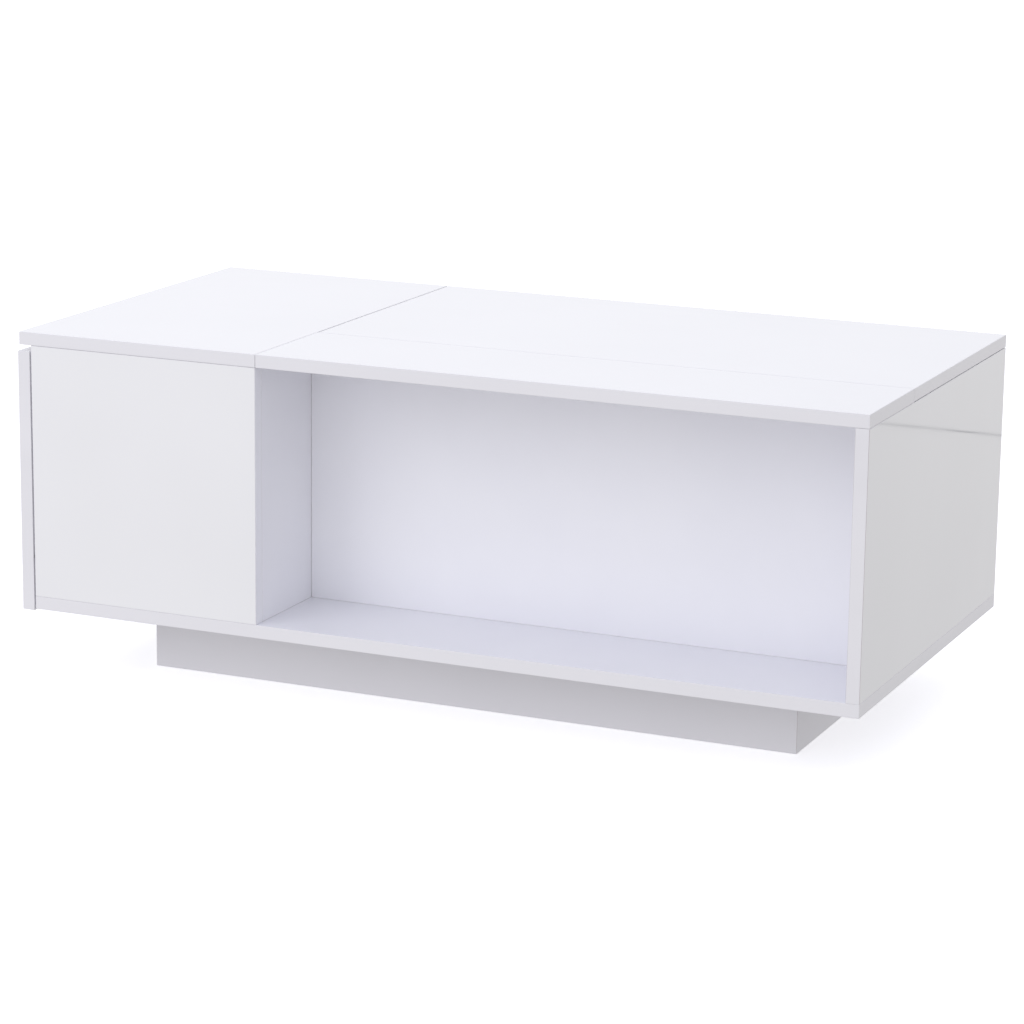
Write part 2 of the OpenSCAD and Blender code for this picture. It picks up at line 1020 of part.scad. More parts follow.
// Angle of ring i, starting at the lowest point of the coil
function coil_angle(i) = -90 + 360 * i / coil_steps;
function coil_point(i, k) =
    let (a = coil_angle(i), b = 360 * k / coil_sides, r = coil_r + wire_r * cos(b))
        [coil_s + coil_pitch * i / coil_steps + wire_r * sin(b), r * cos(a), r * sin(a)];
coil_faces = concat(
    [[for (k = [coil_sides - 1:-1:0]) k]],
    [
        for (i = [0:coil_rings - 1])
            for (k = [0:coil_sides - 1])
                [
                    i * coil_sides + k,
                    i * coil_sides + (k + 1) % coil_sides,
                    (i + 1) * coil_sides + (k + 1) % coil_sides,
                    (i + 1) * coil_sides + k
                ]
    ],
    [[for (k = [0:coil_sides - 1]) coil_rings * coil_sides + k]]
);

module spring_coil() {
    leg_at = base_front - [0, coil_r];
    translate([0, base_front[0], base_front[1]])
        polyhedron(
            points = [for (i = [0:coil_rings]) for (k = [0:coil_sides - 1]) coil_point(i, k)],
            faces = coil_faces,
            convexity = 10
        );
    translate([coil_s, leg_at[0] - leg_l, leg_at[1]])
        rotate([-90, 0, 0])
            cylinder(h = leg_l + 0.2, r = wire_r - 0.1, $fn = 24);
    translate([coil_s, leg_at[0] - leg_l, leg_at[1]])
        sphere(r = wire_r - 0.1, $fn = 24);
    bar(arm_s + 0.3, coil_s - arm_s - 0.3, leg_at - [leg_l, 0], wire_r - 0.1);
}

module spring_coils() {
    color(spring_steel)
        on_both()
            spring_coil();
}

// The fixed last turn of each torsion spring, and its leg under the bracket's peg
module spring_anchors() {
    color(spring_steel)
        on_both() {
            translate([anchor_s, base_front[0], base_front[1]])
                rotate([0, 90, 0])
                    rotate_extrude()
                        translate([coil_r, 0])
                            circle(r = wire_r, $fn = 24);
            translate([anchor_s, base_front[0], base_front[1] - coil_r])
                rotate([-90, 0, 0])
                    cylinder(h = anchor_leg, r = wire_r - 0.05, $fn = 24);
        }
}

module spring_bushes() {
    bush_r = 6;
    color(nylon)
        on_both()
            difference() {
                bar(bracket_s + 0.1, bush_l, base_front, bush_r);
                bar(bracket_s - 1, bush_l + 2, base_front, pin_r + 0.01);
            }
}

module base_bracket_screws() {
    color(zinc)
        for (s = base_bracket_screws)
            screw(s);
}

module top_bracket_screws() {
    color(zinc)
        for (s = top_bracket_screws)
            screw(s);
}

bottom_board();
right_side_panel();
partition();
left_front_panel();
rear_panel();
shelf_back_panel();
left_top();
front_top_strip();
plinth_front();
plinth_back();
plinth_left();
plinth_right();
plinth_brace();
plinth_corner_blocks();
plinth_screws();
cam_locks();
cam_bolts();
cam_caps();
dowels();
drawer_front();
drawer_side_front();
drawer_side_back();
drawer_back();
drawer_bottom();
drawer_cam_locks();
drawer_cam_bolts();
drawer_dowels();
drawer_screws();
drawer_bumpers();
case_runner_front();
case_runner_back();
drawer_runner_front();
drawer_runner_back();
ball_cage_front();
ball_cage_back();
runner_balls_front();
runner_balls_back();
case_runner_screws();
drawer_runner_screws();
lift_top();
lift_pads();
base_bracket_left();
base_bracket_right();
top_bracket_left();
top_bracket_right();
front_arm_left();
front_arm_right();
rear_arm_left();
rear_arm_right();
base_pivot_pins();
top_pivot_pins();
base_washers();
top_washers();
spring_coils();
spring_anchors();
spring_bushes();
base_bracket_screws();
top_bracket_screws();
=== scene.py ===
"""Looks of a lift-top coffee table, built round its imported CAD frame.

The case, plinth, drawer and lift mechanism are each a class that models its own pieces with
Blender's tools and dresses them. Lengths in the dataclasses are millimetres; Blender's are metres.
"""

import json
import logging
import math
from collections.abc import Callable, Iterable
from dataclasses import dataclass, field
from enum import Enum, IntEnum

import bmesh
import bpy
from mathutils import Matrix, Vector

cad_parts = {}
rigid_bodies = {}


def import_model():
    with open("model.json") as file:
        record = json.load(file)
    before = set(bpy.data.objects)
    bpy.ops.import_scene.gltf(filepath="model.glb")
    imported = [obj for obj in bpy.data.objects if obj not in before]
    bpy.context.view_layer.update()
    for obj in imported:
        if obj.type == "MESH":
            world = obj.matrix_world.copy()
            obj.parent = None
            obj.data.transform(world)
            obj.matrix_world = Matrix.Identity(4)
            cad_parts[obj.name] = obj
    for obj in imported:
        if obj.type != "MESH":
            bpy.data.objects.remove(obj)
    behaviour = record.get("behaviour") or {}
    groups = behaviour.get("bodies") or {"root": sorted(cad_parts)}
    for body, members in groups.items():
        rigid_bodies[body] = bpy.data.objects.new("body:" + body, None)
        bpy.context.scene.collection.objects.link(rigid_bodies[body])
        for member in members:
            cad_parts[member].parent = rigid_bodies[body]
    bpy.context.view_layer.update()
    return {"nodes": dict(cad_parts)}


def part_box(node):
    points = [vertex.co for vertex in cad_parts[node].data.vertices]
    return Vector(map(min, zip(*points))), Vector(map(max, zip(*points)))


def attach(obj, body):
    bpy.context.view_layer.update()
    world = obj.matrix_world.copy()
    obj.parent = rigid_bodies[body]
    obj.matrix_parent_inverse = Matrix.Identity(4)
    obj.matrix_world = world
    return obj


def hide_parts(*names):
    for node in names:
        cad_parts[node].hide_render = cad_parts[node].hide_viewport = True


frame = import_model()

MM = 0.001
# Lengths below which points are one point, are on one plane and lie on a cut, in metres
WELD = 2e-6
ON_PLANE = 1e-6
ON_CUT = 1e-7
# Sockets of a Mix node that take its two colours, and the one that gives their mix
MIX_A, MIX_B, MIX_OUT = 6, 7, 2
# Angles in degrees: faces that count as one flat face, edges that are broken, edges that stay sharp
FLAT_DEG, BROKEN_DEG, SHARP_DEG = 1.0, 35.0, 32.0
# Cosines above which a face looks along a way, and below which it stands edgewise to it
FACING, EDGEWISE = 0.9, 0.7
log = logging.getLogger("table")


# ---------------------------------------------------------------- Materials


def linear(hex_colour: str) -> tuple[float, float, float, float]:
    """Turn an sRGB hex colour into the linear colour that shaders take.

    Args:
        hex_colour: Six hex digits, with or without a leading hash.

    Returns:
        Red, green, blue and an alpha of 1.
    """
    digits = hex_colour.lstrip("#")
    parts = [int(digits[i:i + 2], 16) / 255 for i in (0, 2, 4)]
    light = [c / 12.92 if c <= 0.04045 else ((c + 0.055) / 1.055) ** 2.4 for c in parts]
    return (*light, 1.0)


def add_node(
    tree: bpy.types.NodeTree,
    kind: str,
    settings: dict[str, object] | None = None,
    inputs: dict[str | int, object] | None = None,
) -> bpy.types.Node:
    """Add a shader node with its settings and links.

    Args:
        tree: The node tree that gets the node.
        kind: The node's type, without the ShaderNode prefix.
        settings: Attributes of the node itself.
        inputs: For each input, a value or the output socket that feeds it.

    Returns:
        The new node.
    """
    node = tree.nodes.new("ShaderNode" + kind)
    for name, value in (settings or {}).items():
        setattr(node, name, value)
    for name, value in (inputs or {}).items():
        socket = node.inputs[name]
        if isinstance(value, bpy.types.NodeSocket):
            tree.links.new(value, socket)
        else:
            socket.default_value = value
    return node


@dataclass(frozen=True)
class Canvas:
    """The node tree that a finish is painted in.

    Attributes:
        tree: The material's node tree.
        shader: Its Principled shader.
        place: Plain object coordinates.
        grain: Object coordinates stretched along the grain.
    """

    tree: bpy.types.NodeTree
    shader: bpy.types.Node
    place: bpy.types.NodeSocket
    grain: bpy.types.NodeSocket

    def noise(
        self, place: bpy.types.NodeSocket, size_mm: float, detail: float
    ) -> bpy.types.NodeSocket:
        """Add noise whose features are about a given size.

        Args:
            place: The coordinates that it reads.
            size_mm: Size of one feature.
            detail: Octaves of finer noise on top.

        Returns:
            The noise's value, about 0.5 on average.
        """
        values = {"Vector": place, "Scale": 1 / (size_mm * MM), "Detail": detail}
        return add_node(self.tree, "TexNoise", {}, values).outputs["Fac"]

    def spread(
        self, value: bpy.types.NodeSocket, low: float, high: float
    ) -> bpy.types.NodeSocket:
        """Map noise from its usual range onto another.

        Args:
            value: The noise.
            low: What 0.3 becomes.
            high: What 0.7 becomes.

        Returns:
            The mapped value.
        """
        span = {"From Min": 0.3, "From Max": 0.7, "To Min": low, "To Max": high}
        return add_node(self.tree, "MapRange", {}, {"Value": value, **span}).outputs["Result"]


@dataclass(frozen=True)
class Finish:
    """One real material and how its surface was made.

    Attributes:
        name: The material's name.
        colour: Main sRGB colour.
        shade: A second sRGB colour that the main one drifts to.
        drift_mm: Size of the colour's slow drift.
        roughness: Mean roughness.
        uneven: How far the roughness strays from its mean.
        smudge_mm: Size of the patches where the roughness strays.
        grain_mm: Size of the surface's own relief.
        relief_mm: Height of that relief.
        stretch: Stretch of the grain along X, Y and Z, above 1 where it runs along that axis.
        metallic: 1 on a bare metal.
        ior: Refractive index of what isn't a metal.
        coat: Weight of a clear coat over it.
        coat_roughness: Roughness of that coat.
        glow: Light that it gives off.
    """

    name: str
    colour: str
    shade: str
    drift_mm: float = 120.0
    roughness: float = 0.4
    uneven: float = 0.05
    smudge_mm: float = 60.0
    grain_mm: float = 1.0
    relief_mm: float = 0.01
    stretch: tuple[float, float, float] = (1.0, 1.0, 1.0)
    metallic: float = 0.0
    ior: float = 1.5
    coat: float = 0.0
    coat_roughness: float = 0.03
    glow: float = 0.0

    def build(self) -> bpy.types.Material:
        """Make the material, or return it if it has been made.

        Returns:
            The Blender material.
        """
        made = bpy.data.materials.get(self.name)
        if made:
            return made
        material = bpy.data.materials.new(self.name)
        material.use_nodes = True
        material.diffuse_color = linear(self.colour)
        tree = material.node_tree
        shader = tree.nodes["Principled BSDF"]
        shader.inputs["Metallic"].default_value = self.metallic
        if not self.metallic:
            shader.inputs["IOR"].default_value = self.ior
        shader.inputs["Coat Weight"].default_value = self.coat
        shader.inputs["Coat Roughness"].default_value = self.coat_roughness
        shader.inputs["Emission Color"].default_value = (1.0, 1.0, 1.0, 1.0)
        shader.inputs["Emission Strength"].default_value = self.glow
        place = add_node(tree, "TexCoord").outputs["Object"]
        along = {"Vector": place, "Scale": [1 / s for s in self.stretch]}
        grain = add_node(tree, "Mapping", {}, along).outputs["Vector"]
        self.paint(Canvas(tree, shader, place, grain))
        return material

    def paint(self, canvas: Canvas) -> None:
        """Link the colour drift, the uneven gloss and the relief.

        Args:
            canvas: Where the finish is painted.
        """
        tree, inputs = canvas.tree, canvas.shader.inputs
        drift = canvas.spread(canvas.noise(canvas.grain, self.drift_mm, 3.0), 0.0, 1.0)
        mix = add_node(tree, "Mix", {"data_type": "RGBA"}, {"Factor": drift})
        mix.inputs[MIX_A].default_value = linear(self.colour)
        mix.inputs[MIX_B].default_value = linear(self.shade)
        tree.links.new(mix.outputs[MIX_OUT], inputs["Base Color"])
        smudge = canvas.noise(canvas.place, self.smudge_mm, 6.0)
        low, high = self.roughness - self.uneven, self.roughness + self.uneven
        tree.links.new(canvas.spread(smudge, low, high), inputs["Roughness"])
        grain = canvas.noise(canvas.grain, self.grain_mm, 2.0)
        values = {"Strength": 1.0, "Distance": self.relief_mm * MM, "Height": grain}
        tree.links.new(add_node(tree, "Bump", {}, values).outputs["Normal"], inputs["Normal"])


@dataclass(frozen=True)
class Wiped(Finish):
    """A gloss surface with the faint curved hairlines that wiping leaves.

    Attributes:
        hairline_mm: Distance between hairlines.
        curl: How far they wander.
        thin: Share of the way between two hairlines that stays clean, from 0 to 1.
        duller: How much rougher a hairline is.
    """

    hairline_mm: float = 22.0
    curl: float = 9.0
    thin: float = 0.985
    duller: float = 0.05

    def paint(self, canvas: Canvas) -> None:
        """Add hairlines, which lie in the roughness alone, to the plain finish.

        Args:
            canvas: Where the finish is painted.
        """
        super().paint(canvas)
        tree, roughness = canvas.tree, canvas.shader.inputs["Roughness"]
        values = {
            "Vector": canvas.place,
            "Scale": 1 / (self.hairline_mm * MM),
            "Distortion": self.curl,
            "Detail": 3.0,
            "Detail Scale": 2.0,
        }
        waves = add_node(tree, "TexWave", {"bands_direction": "DIAGONAL"}, values).outputs["Fac"]
        crest = {"Value": waves, "From Min": self.thin, "From Max": 1.0}
        line = add_node(tree, "MapRange", {}, {**crest, "To Min": 0.0, "To Max": self.duller})
        added = {0: roughness.links[0].from_socket, 1: line.outputs["Result"]}
        total = add_node(tree, "Math", {"operation": "ADD"}, added)
        tree.links.new(total.outputs["Value"], roughness)


@dataclass(frozen=True)
class Speckled(Finish):
    """A finish with small flecks of a third colour in it.

    Attributes:
        fleck: sRGB colour of the flecks.
        fleck_mm: Distance between flecks.
        fleck_share: How much of the surface they take, from 0 to 1.
        fleck_core: Size of a fleck's full-coloured middle, as a share of fleck_mm.
    """

    fleck: str = "808080"
    fleck_mm: float = 2.0
    fleck_share: float = 0.2
    fleck_core: float = 0.1

    def paint(self, canvas: Canvas) -> None:
        """Add flecks to the colour of the plain finish.

        Args:
            canvas: Where the finish is painted.
        """
        super().paint(canvas)
        tree, colour = canvas.tree, canvas.shader.inputs["Base Color"]
        values = {"Vector": canvas.grain, "Scale": 1 / (self.fleck_mm * MM)}
        cells = add_node(tree, "TexVoronoi", {}, values).outputs["Distance"]
        rim = self.fleck_core + self.fleck_share
        edges = {"Value": cells, "From Min": self.fleck_core, "From Max": rim}
        amount = add_node(tree, "MapRange", {}, {**edges, "To Min": 1.0, "To Max": 0.0})
        mix = add_node(tree, "Mix", {"data_type": "RGBA"}, {"Factor": amount.outputs["Result"]})
        tree.links.new(colour.links[0].from_socket, mix.inputs[MIX_A])
        mix.inputs[MIX_B].default_value = linear(self.fleck)
        tree.links.new(mix.outputs[MIX_OUT], colour)


# High-gloss lacquer foil, pressed flat on fibreboard: mirror-like, with a long faint orange peel.
GLOSS = Wiped(
    "high_gloss_lacquer_foil", "F6F6F6", "F3F3F3", drift_mm=260, roughness=0.05, uneven=0.02,
    smudge_mm=90, grain_mm=9, relief_mm=0.004, coat=0.3,
)
# Satin melamine foil folded round the plinth's boards: smooth and half dull. Its colour is a shade
# greyer than the gloss white: painted shade for the plinth's place under the overhang.
SHADED_PLINTH_FOIL = Finish(
    "satin_melamine_foil_painted_shade", "E8E7EB", "E5E4E8", drift_mm=200, roughness=0.3, uneven=0.01,
    smudge_mm=80, grain_mm=1.2, relief_mm=0.008,
)
# Pearl-embossed melamine foil: a soft sheen broken by a fine even tooth, slightly lilac.
MELAMINE = Finish(
    "pearl_melamine_foil", "F4F4F8", "F1F1F6", drift_mm=180, roughness=0.34, uneven=0.05,
    smudge_mm=70, grain_mm=0.9, relief_mm=0.012,
)
# ABS edge band, extruded and buffed: even, a little duller than the foil, drawn along its length.
EDGE_BAND = Finish(
    "buffed_abs_edge_band", "F0EFF1", "EDECEE", drift_mm=60, roughness=0.22, uneven=0.05,
    smudge_mm=25, grain_mm=0.6, relief_mm=0.004, stretch=(6, 6, 1),
)
# Hot-melt glue line beside the band, darkened as painted joint shade: a dull pinkish grey hair
# along the edge.
GLUE_AND_SHADE_LINE = Finish(
    "hot_melt_glue_line_and_painted_shade", "D0C9CA", "C6BFC0", drift_mm=15, roughness=0.6, uneven=0.08, smudge_mm=8,
    grain_mm=0.5, relief_mm=0.01,
)
# Bare fibreboard inside drilled pockets: dull, warm and woolly.
RAW_BOARD = Speckled(
    "raw_fibreboard", "B89C78", "A88B66", drift_mm=9, roughness=0.9, uneven=0.05, smudge_mm=5,
    grain_mm=0.5, relief_mm=0.05, ior=1.45, fleck="8A6E4C", fleck_mm=1.1, fleck_share=0.25,
)
# White-faced hardboard of the drawer's bottom: a thin paint film over a fine fibre.
HARDBOARD = Speckled(
    "white_faced_hardboard", "E4E4EA", "DEDEE5", drift_mm=40, roughness=0.5, uneven=0.06,
    smudge_mm=30, grain_mm=0.7, relief_mm=0.02, fleck="D6D6DC", fleck_mm=3, fleck_share=0.12,
)
# Bright zinc plate on pressed steel: silvery, cloudy, with a cool tint and faint rolling lines.
ZINC_PLATE = Finish(
    "bright_zinc_plate", "C9CDD2", "B7BCC6", drift_mm=14, roughness=0.3, uneven=0.1, smudge_mm=9,
    grain_mm=0.35, relief_mm=0.006, stretch=(1, 9, 1), metallic=1.0,
)
# Galvanised strip of the runners: rolled along its length.
RUNNER_STEEL = Finish(
    "galvanised_runner_strip", "C4C7CB", "B2B6BB", drift_mm=20, roughness=0.34, uneven=0.09,
    smudge_mm=12, grain_mm=0.3, relief_mm=0.006, stretch=(14, 1, 1), metallic=1.0,
)
# Tumbled die-cast zinc of the cams: duller and greyer than plate.
CAST_ZINC = Finish(
    "tumbled_die_cast_zinc", "A9ABAF", "989BA0", drift_mm=4, roughness=0.45, uneven=0.1,
    smudge_mm=3, grain_mm=0.4, relief_mm=0.015, metallic=1.0,
)
# Polished bearing steel of the balls.
BALL_STEEL = Finish(
    "polished_bearing_steel", "D2D4D7", "C6C9CD", drift_mm=2, roughness=0.08, uneven=0.02,
    smudge_mm=2, grain_mm=0.3, relief_mm=0.001, metallic=1.0,
)
# Oil-tempered spring wire: near black, with drawn lines and an oily glint.
SPRING_STEEL = Finish(
    "oiled_spring_wire", "4B4C52", "35363B", drift_mm=5, roughness=0.3, uneven=0.08, smudge_mm=4,
    grain_mm=0.25, relief_mm=0.01, stretch=(1, 5, 5), metallic=1.0,
)
# Moulded nylon of washers, bushes and caps: milky, with a fine mould texture.
NYLON = Finish(
    "moulded_white_nylon", "ECEBE6", "E4E3DC", drift_mm=8, roughness=0.42, uneven=0.05,
    smudge_mm=6, grain_mm=0.4, relief_mm=0.008, ior=1.53,
)
# Clear polyurethane of the stick-on pads: glassy and a little cloudy.
PAD = Finish(
    "clear_polyurethane_pad", "DDE1E4", "D2D7DB", drift_mm=3, roughness=0.18, uneven=0.04,
    smudge_mm=3, grain_mm=0.5, relief_mm=0.004, coat=0.5,
)
# Soft black rubber of the drawer's bumpers.
RUBBER = Finish(
    "soft_black_rubber", "1D1D1F", "262628", drift_mm=3, roughness=0.7, uneven=0.08, smudge_mm=3,
    grain_mm=0.3, relief_mm=0.02, ior=1.52,
)
# Steamed beech of the dowels and corner blocks: pinkish tan with short dark flecks.
BEECH = Speckled(
    "steamed_beech", "CFA67C", "BE9166", drift_mm=6, roughness=0.6, uneven=0.06, smudge_mm=8,
    grain_mm=0.5, relief_mm=0.03, stretch=(1, 1, 7), ior=1.45, fleck="94693F", fleck_mm=0.9,
    fleck_share=0.2,
)
# Opal acrylic of the studio's floor, matt and lit from below, which leaves hardly any shadow.
OPAL_FLOOR = Finish(
    "underlit_opal_acrylic", "FBFBFC", "FAFAFB", drift_mm=900, roughness=0.95, uneven=0.02,
    smudge_mm=400, grain_mm=2, relief_mm=0.02, glow=0.46,
)


# ---------------------------------------------------------------- The bench


class Axis(Enum):
    """A way along one of the frame's axes."""

    LEFT = (-1, 0, 0)
    RIGHT = (1, 0, 0)
    FRONT = (0, -1, 0)
    BACK = (0, 1, 0)
    DOWN = (0, 0, -1)
    UP = (0, 0, 1)

    @property
    def way(self) -> Vector:
        """The unit vector of this way."""
        return Vector(self.value)


class Skin(IntEnum):
    """What covers a face of a board, numbered as the board's finishes are."""

    FACE = 0
    FOIL = 1
    BAND = 2
    CORE = 3
    # The glue line, darkened as painted joint shade
    GLUE = 4


class Part(Enum):
    """What a selection in edit mode is made of."""

    POINTS = "VERT"
    EDGES = "EDGE"
    FACES = "FACE"


# The lowest and the highest corner of a box
Corners = tuple[Vector, Vector]


class Workpiece:
    """A mesh on the bench, shaped with Blender's own tools and then given to the frame."""

    def __init__(self, obj: bpy.types.Object) -> None:
        """Take an object that stands in its place in the frame."""
        self.obj = obj

    @staticmethod
    def clear() -> None:
        """Leave edit mode and deselect everything."""
        active = bpy.context.view_layer.objects.active
        if active and active.mode != "OBJECT":
            bpy.ops.object.mode_set(mode="OBJECT")
        for obj in bpy.context.view_layer.objects:
            obj.select_set(False)

    @classmethod
    def block(cls, low: Vector, high: Vector) -> "Workpiece":
        """Start from a block.

        Args:
            low: Its lowest corner.
            high: Its highest corner.

        Returns:
            The block on the bench.
        """
        cls.clear()
        bpy.ops.mesh.primitive_cube_add(size=1, location=(low + high) / 2, scale=high - low)
        return cls(bpy.context.object).settle()

    @classmethod
    def rod(cls, start: Vector, end: Vector, radius: float, sides: int = 48) -> "Workpiece":
        """Start from a round rod.

        Args:
            start: Middle of one end.
            end: Middle of the other end.
            radius: Its radius in metres.
            sides: Faces round it.

        Returns:
            The rod on the bench.
        """
        cls.clear()
        way = end - start
        bpy.ops.mesh.primitive_cylinder_add(
            vertices=sides,
            radius=radius,
            depth=way.length,
            location=(start + end) / 2,
            rotation=way.to_track_quat("Z", "Y").to_euler(),
        )
        return cls(bpy.context.object).settle()

    @classmethod
    def from_node(cls, node: str) -> "Workpiece":
        """Start from a merged copy of a CAD node, with its flat faces joined up.

        Args:
            node: The node's name.

        Returns:
            The copy on the bench.
        """
        cls.clear()
        source = frame["nodes"][node]
        obj = bpy.data.objects.new(node + "_copy", source.data.copy())
        obj.data.materials.clear()
        bpy.context.scene.collection.objects.link(obj)
        piece = cls(obj)
        piece.pick(Part.POINTS, lambda _: True)
        bpy.ops.mesh.remove_doubles(threshold=WELD)
        bpy.ops.mesh.dissolve_limited(angle_limit=math.radians(FLAT_DEG))
        return piece

    def settle(self) -> "Workpiece":
        """Put the object's place, turn and size into its mesh.

        Returns:
            This piece.
        """
        self.clear()
        self.select()
        bpy.ops.object.transform_apply(location=True, rotation=True, scale=True)
        return self

    def select(self) -> None:
        """Make this the one selected and active object."""
        self.clear()
        self.obj.select_set(True)
        bpy.context.view_layer.objects.active = self.obj

    def pick(self, part: Part, test: Callable[[object], bool]) -> None:
        """Select what passes a test, and stay in edit mode.

        Args:
            part: Whether points, edges or faces are tested.
            test: What the chosen ones pass.
        """
        self.select()
        bpy.ops.object.mode_set(mode="EDIT")
        bpy.ops.mesh.select_mode(type=part.value)
        bpy.ops.mesh.select_all(action="DESELECT")
        mesh = bmesh.from_edit_mesh(self.obj.data)
        mesh.normal_update()
        pool = {Part.POINTS: mesh.verts, Part.EDGES: mesh.edges, Part.FACES: mesh.faces}[part]
        for element in filter(test, pool):
            element.select_set(True)
        bmesh.update_edit_mesh(self.obj.data)

    def bevel(self, width_mm: float, segments: int = 3) -> None:
        """Round the selected edges."""
        bpy.ops.mesh.bevel(offset=width_mm * MM, segments=segments, affect="EDGES")

    def bisect(self, point: Vector, way: Vector) -> None:
        """Cut new edges right round the mesh, through a point.

        Args:
            point: A point on the cut.
            way: The cut's normal.
        """
        self.pick(Part.FACES, lambda _: True)
        bpy.ops.mesh.bisect(plane_co=point, plane_no=way, threshold=ON_CUT)

    def modify(self, kind: str, **settings: object) -> "Workpiece":
        """Add a modifier and apply it.

        Args:
            kind: The modifier's type.
            settings: Its settings.

        Returns:
            This piece.
        """
        self.select()
        modifier = self.obj.modifiers.new(kind.lower(), kind)
        for name, value in settings.items():
            setattr(modifier, name, value)
        bpy.ops.object.modifier_apply(modifier=modifier.name)
        return self

    def cut(self, tool: "Workpiece") -> "Workpiece":
        """Cut this piece with another, which is used up.

        Args:
            tool: The piece that cuts.

        Returns:
            This piece.
        """
        self.modify("BOOLEAN", operation="DIFFERENCE", object=tool.obj, solver="EXACT")
        bpy.data.objects.remove(tool.obj)
        return self

    def join(self, others: Iterable["Workpiece"]) -> "Workpiece":
        """Join other pieces into this one, which keeps its separate solids.

        Args:
            others: The pieces that are joined on.

        Returns:
            This piece.
        """
        self.select()
        for other in others:
            other.obj.select_set(True)
        bpy.ops.object.join()
        return self

    def copies_at(self, places: Iterable[Matrix]) -> list["Workpiece"]:
        """Copy this piece to several places, each with its own mesh.

        Args:
            places: Where each copy goes, from the place where this one was modelled.

        Returns:
            The copies; this piece itself is removed.
        """
        made = []
        for place in places:
            obj = self.obj.copy()
            obj.data = self.obj.data.copy()
            obj.data.transform(place)
            bpy.context.scene.collection.objects.link(obj)
            made.append(Workpiece(obj))
        bpy.data.objects.remove(self.obj)
        return made

    def soften(self, width_mm: float, segments: int = 2) -> "Workpiece":
        """Break every sharp edge, with the flat faces left looking flat.

        Args:
            width_mm: Width of the broken edge.
            segments: Facets across it.

        Returns:
            This piece.
        """
        self.modify(
            "BEVEL", width=width_mm * MM, segments=segments, limit_method="ANGLE",
            angle_limit=math.radians(BROKEN_DEG), use_clamp_overlap=True,
        )
        return self.shade()

    def shade(self) -> "Workpiece":
        """Shade curves smooth and keep corners sharp.

        Returns:
            This piece.
        """
        self.select()
        bpy.ops.object.shade_smooth_by_angle(angle=math.radians(SHARP_DEG))
        return self.modify("WEIGHTED_NORMAL", keep_sharp=True)

    def dress(
        self, *finishes: Finish, by: Callable[[Vector, Vector], int] | None = None
    ) -> "Workpiece":
        """Give the piece its finishes.

        Args:
            finishes: The finishes, in the order that by numbers them.
            by: Takes a face's middle and normal and returns its finish's number.

        Returns:
            This piece.
        """
        self.clear()
        self.obj.data.materials.clear()
        for finish in finishes:
            self.obj.data.materials.append(finish.build())
        if by:
            for face in self.obj.data.polygons:
                face.material_index = by(face.center, face.normal)
        return self

    def hand_over(self, name: str, body: str, slot: str, *nodes: str) -> None:
        """Name the piece and let it ride on its body in place of its CAD nodes.

        Args:
            name: The piece's name.
            body: The body that carries it.
            slot: The record's material slot; not used.
            nodes: The CAD nodes that it stands for.
        """
        self.clear()
        self.obj.name = name
        self.obj.data.name = name
        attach(self.obj, body)
        if nodes:
            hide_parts(*nodes)
        log.info("%s: %d faces on %s", name, len(self.obj.data.polygons), body)


def solids(node: str) -> list[list[Vector]]:
    """Split a CAD node into its separate solids.

    Args:
        node: The node's name.

    Returns:
        The points of each solid, sorted by place.
    """
    mesh = bmesh.new()
    mesh.from_mesh(frame["nodes"][node].data)
    bmesh.ops.remove_doubles(mesh, verts=mesh.verts, dist=WELD)
    left = set(mesh.verts)
    found = []
    while left:
        waiting = [next(iter(left))]
        group = set(waiting)
        while waiting:
            point = waiting.pop()
            for link in point.link_edges:
                other = link.other_vert(point)
                if other not in group:
                    group.add(other)
                    waiting.append(other)
        left -= group
        found.append([v.co.copy() for v in group])
    mesh.free()
    return sorted(found, key=lambda points: tuple(round(c, 5) for c in middle_of(points)))


def middle_of(points: list[Vector]) -> Vector:
    """Middle of the box round some points."""
    low, high = box_of(points)
    return (low + high) / 2


def box_of(points: list[Vector]) -> Corners:
    """Find the box round some points.

    Args:
        points: The points.

    Returns:
        Its lowest and highest corners.
    """
    low = Vector([min(p[i] for p in points) for i in range(3)])
    high = Vector([max(p[i] for p in points) for i in range(3)])
    return low, high


@dataclass
class Turned:
    """The place of one turned part, such as a screw, cap or pad, read from its CAD solid.

    Attributes:
        wide_end: Middle of the end where it is widest.
        way: From the wide end to the other.
        length: Its length.
        radius: Its largest radius.
    """

    wide_end: Vector
    way: Vector
    length: float
    radius: float

    @classmethod
    def read(cls, points: list[Vector], axis: int) -> "Turned":
        """Read a turned solid's place.

        Args:
            points: The solid's points.
            axis: 0, 1 or 2, the axis that it is turned about.

        Returns:
            Its place.
        """
        low, high = box_of(points)
        centre = (low + high) / 2
        others = [i for i in range(3) if i != axis]
        reach = [math.hypot(*(p[i] - centre[i] for i in others)) for p in points]
        radius = max(reach)
        nearly = 0.97 * radius
        wide = [p[axis] for p, r in zip(points, reach) if r > nearly]
        at_low = sum(wide) / len(wide) < centre[axis]
        end = centre.copy()
        end[axis] = low[axis] if at_low else high[axis]
        way = Vector((0, 0, 0))
        way[axis] = 1.0 if at_low else -1.0
        return cls(end, way, high[axis] - low[axis], radius)

    def placed(self) -> Matrix:
        """The matrix that takes +Z at the origin to this part's wide end and way."""
        turn = self.way.to_track_quat("Z", "Y").to_matrix().to_4x4()
        return Matrix.Translation(self.wide_end) @ turn


def turned_parts(node: str, longest: bool) -> list[Turned]:
    """Read the places of a node's turned solids.

    Args:
        node: The CAD node.
        longest: Whether each is turned about its longest side; else about its shortest.

    Returns:
        One place for each solid.
    """
    found = []
    for points in solids(node):
        low, high = box_of(points)
        size = list(high - low)
        axis = size.index(max(size) if longest else min(size))
        found.append(Turned.read(points, axis))
    return found


# ---------------------------------------------------------------- Boards


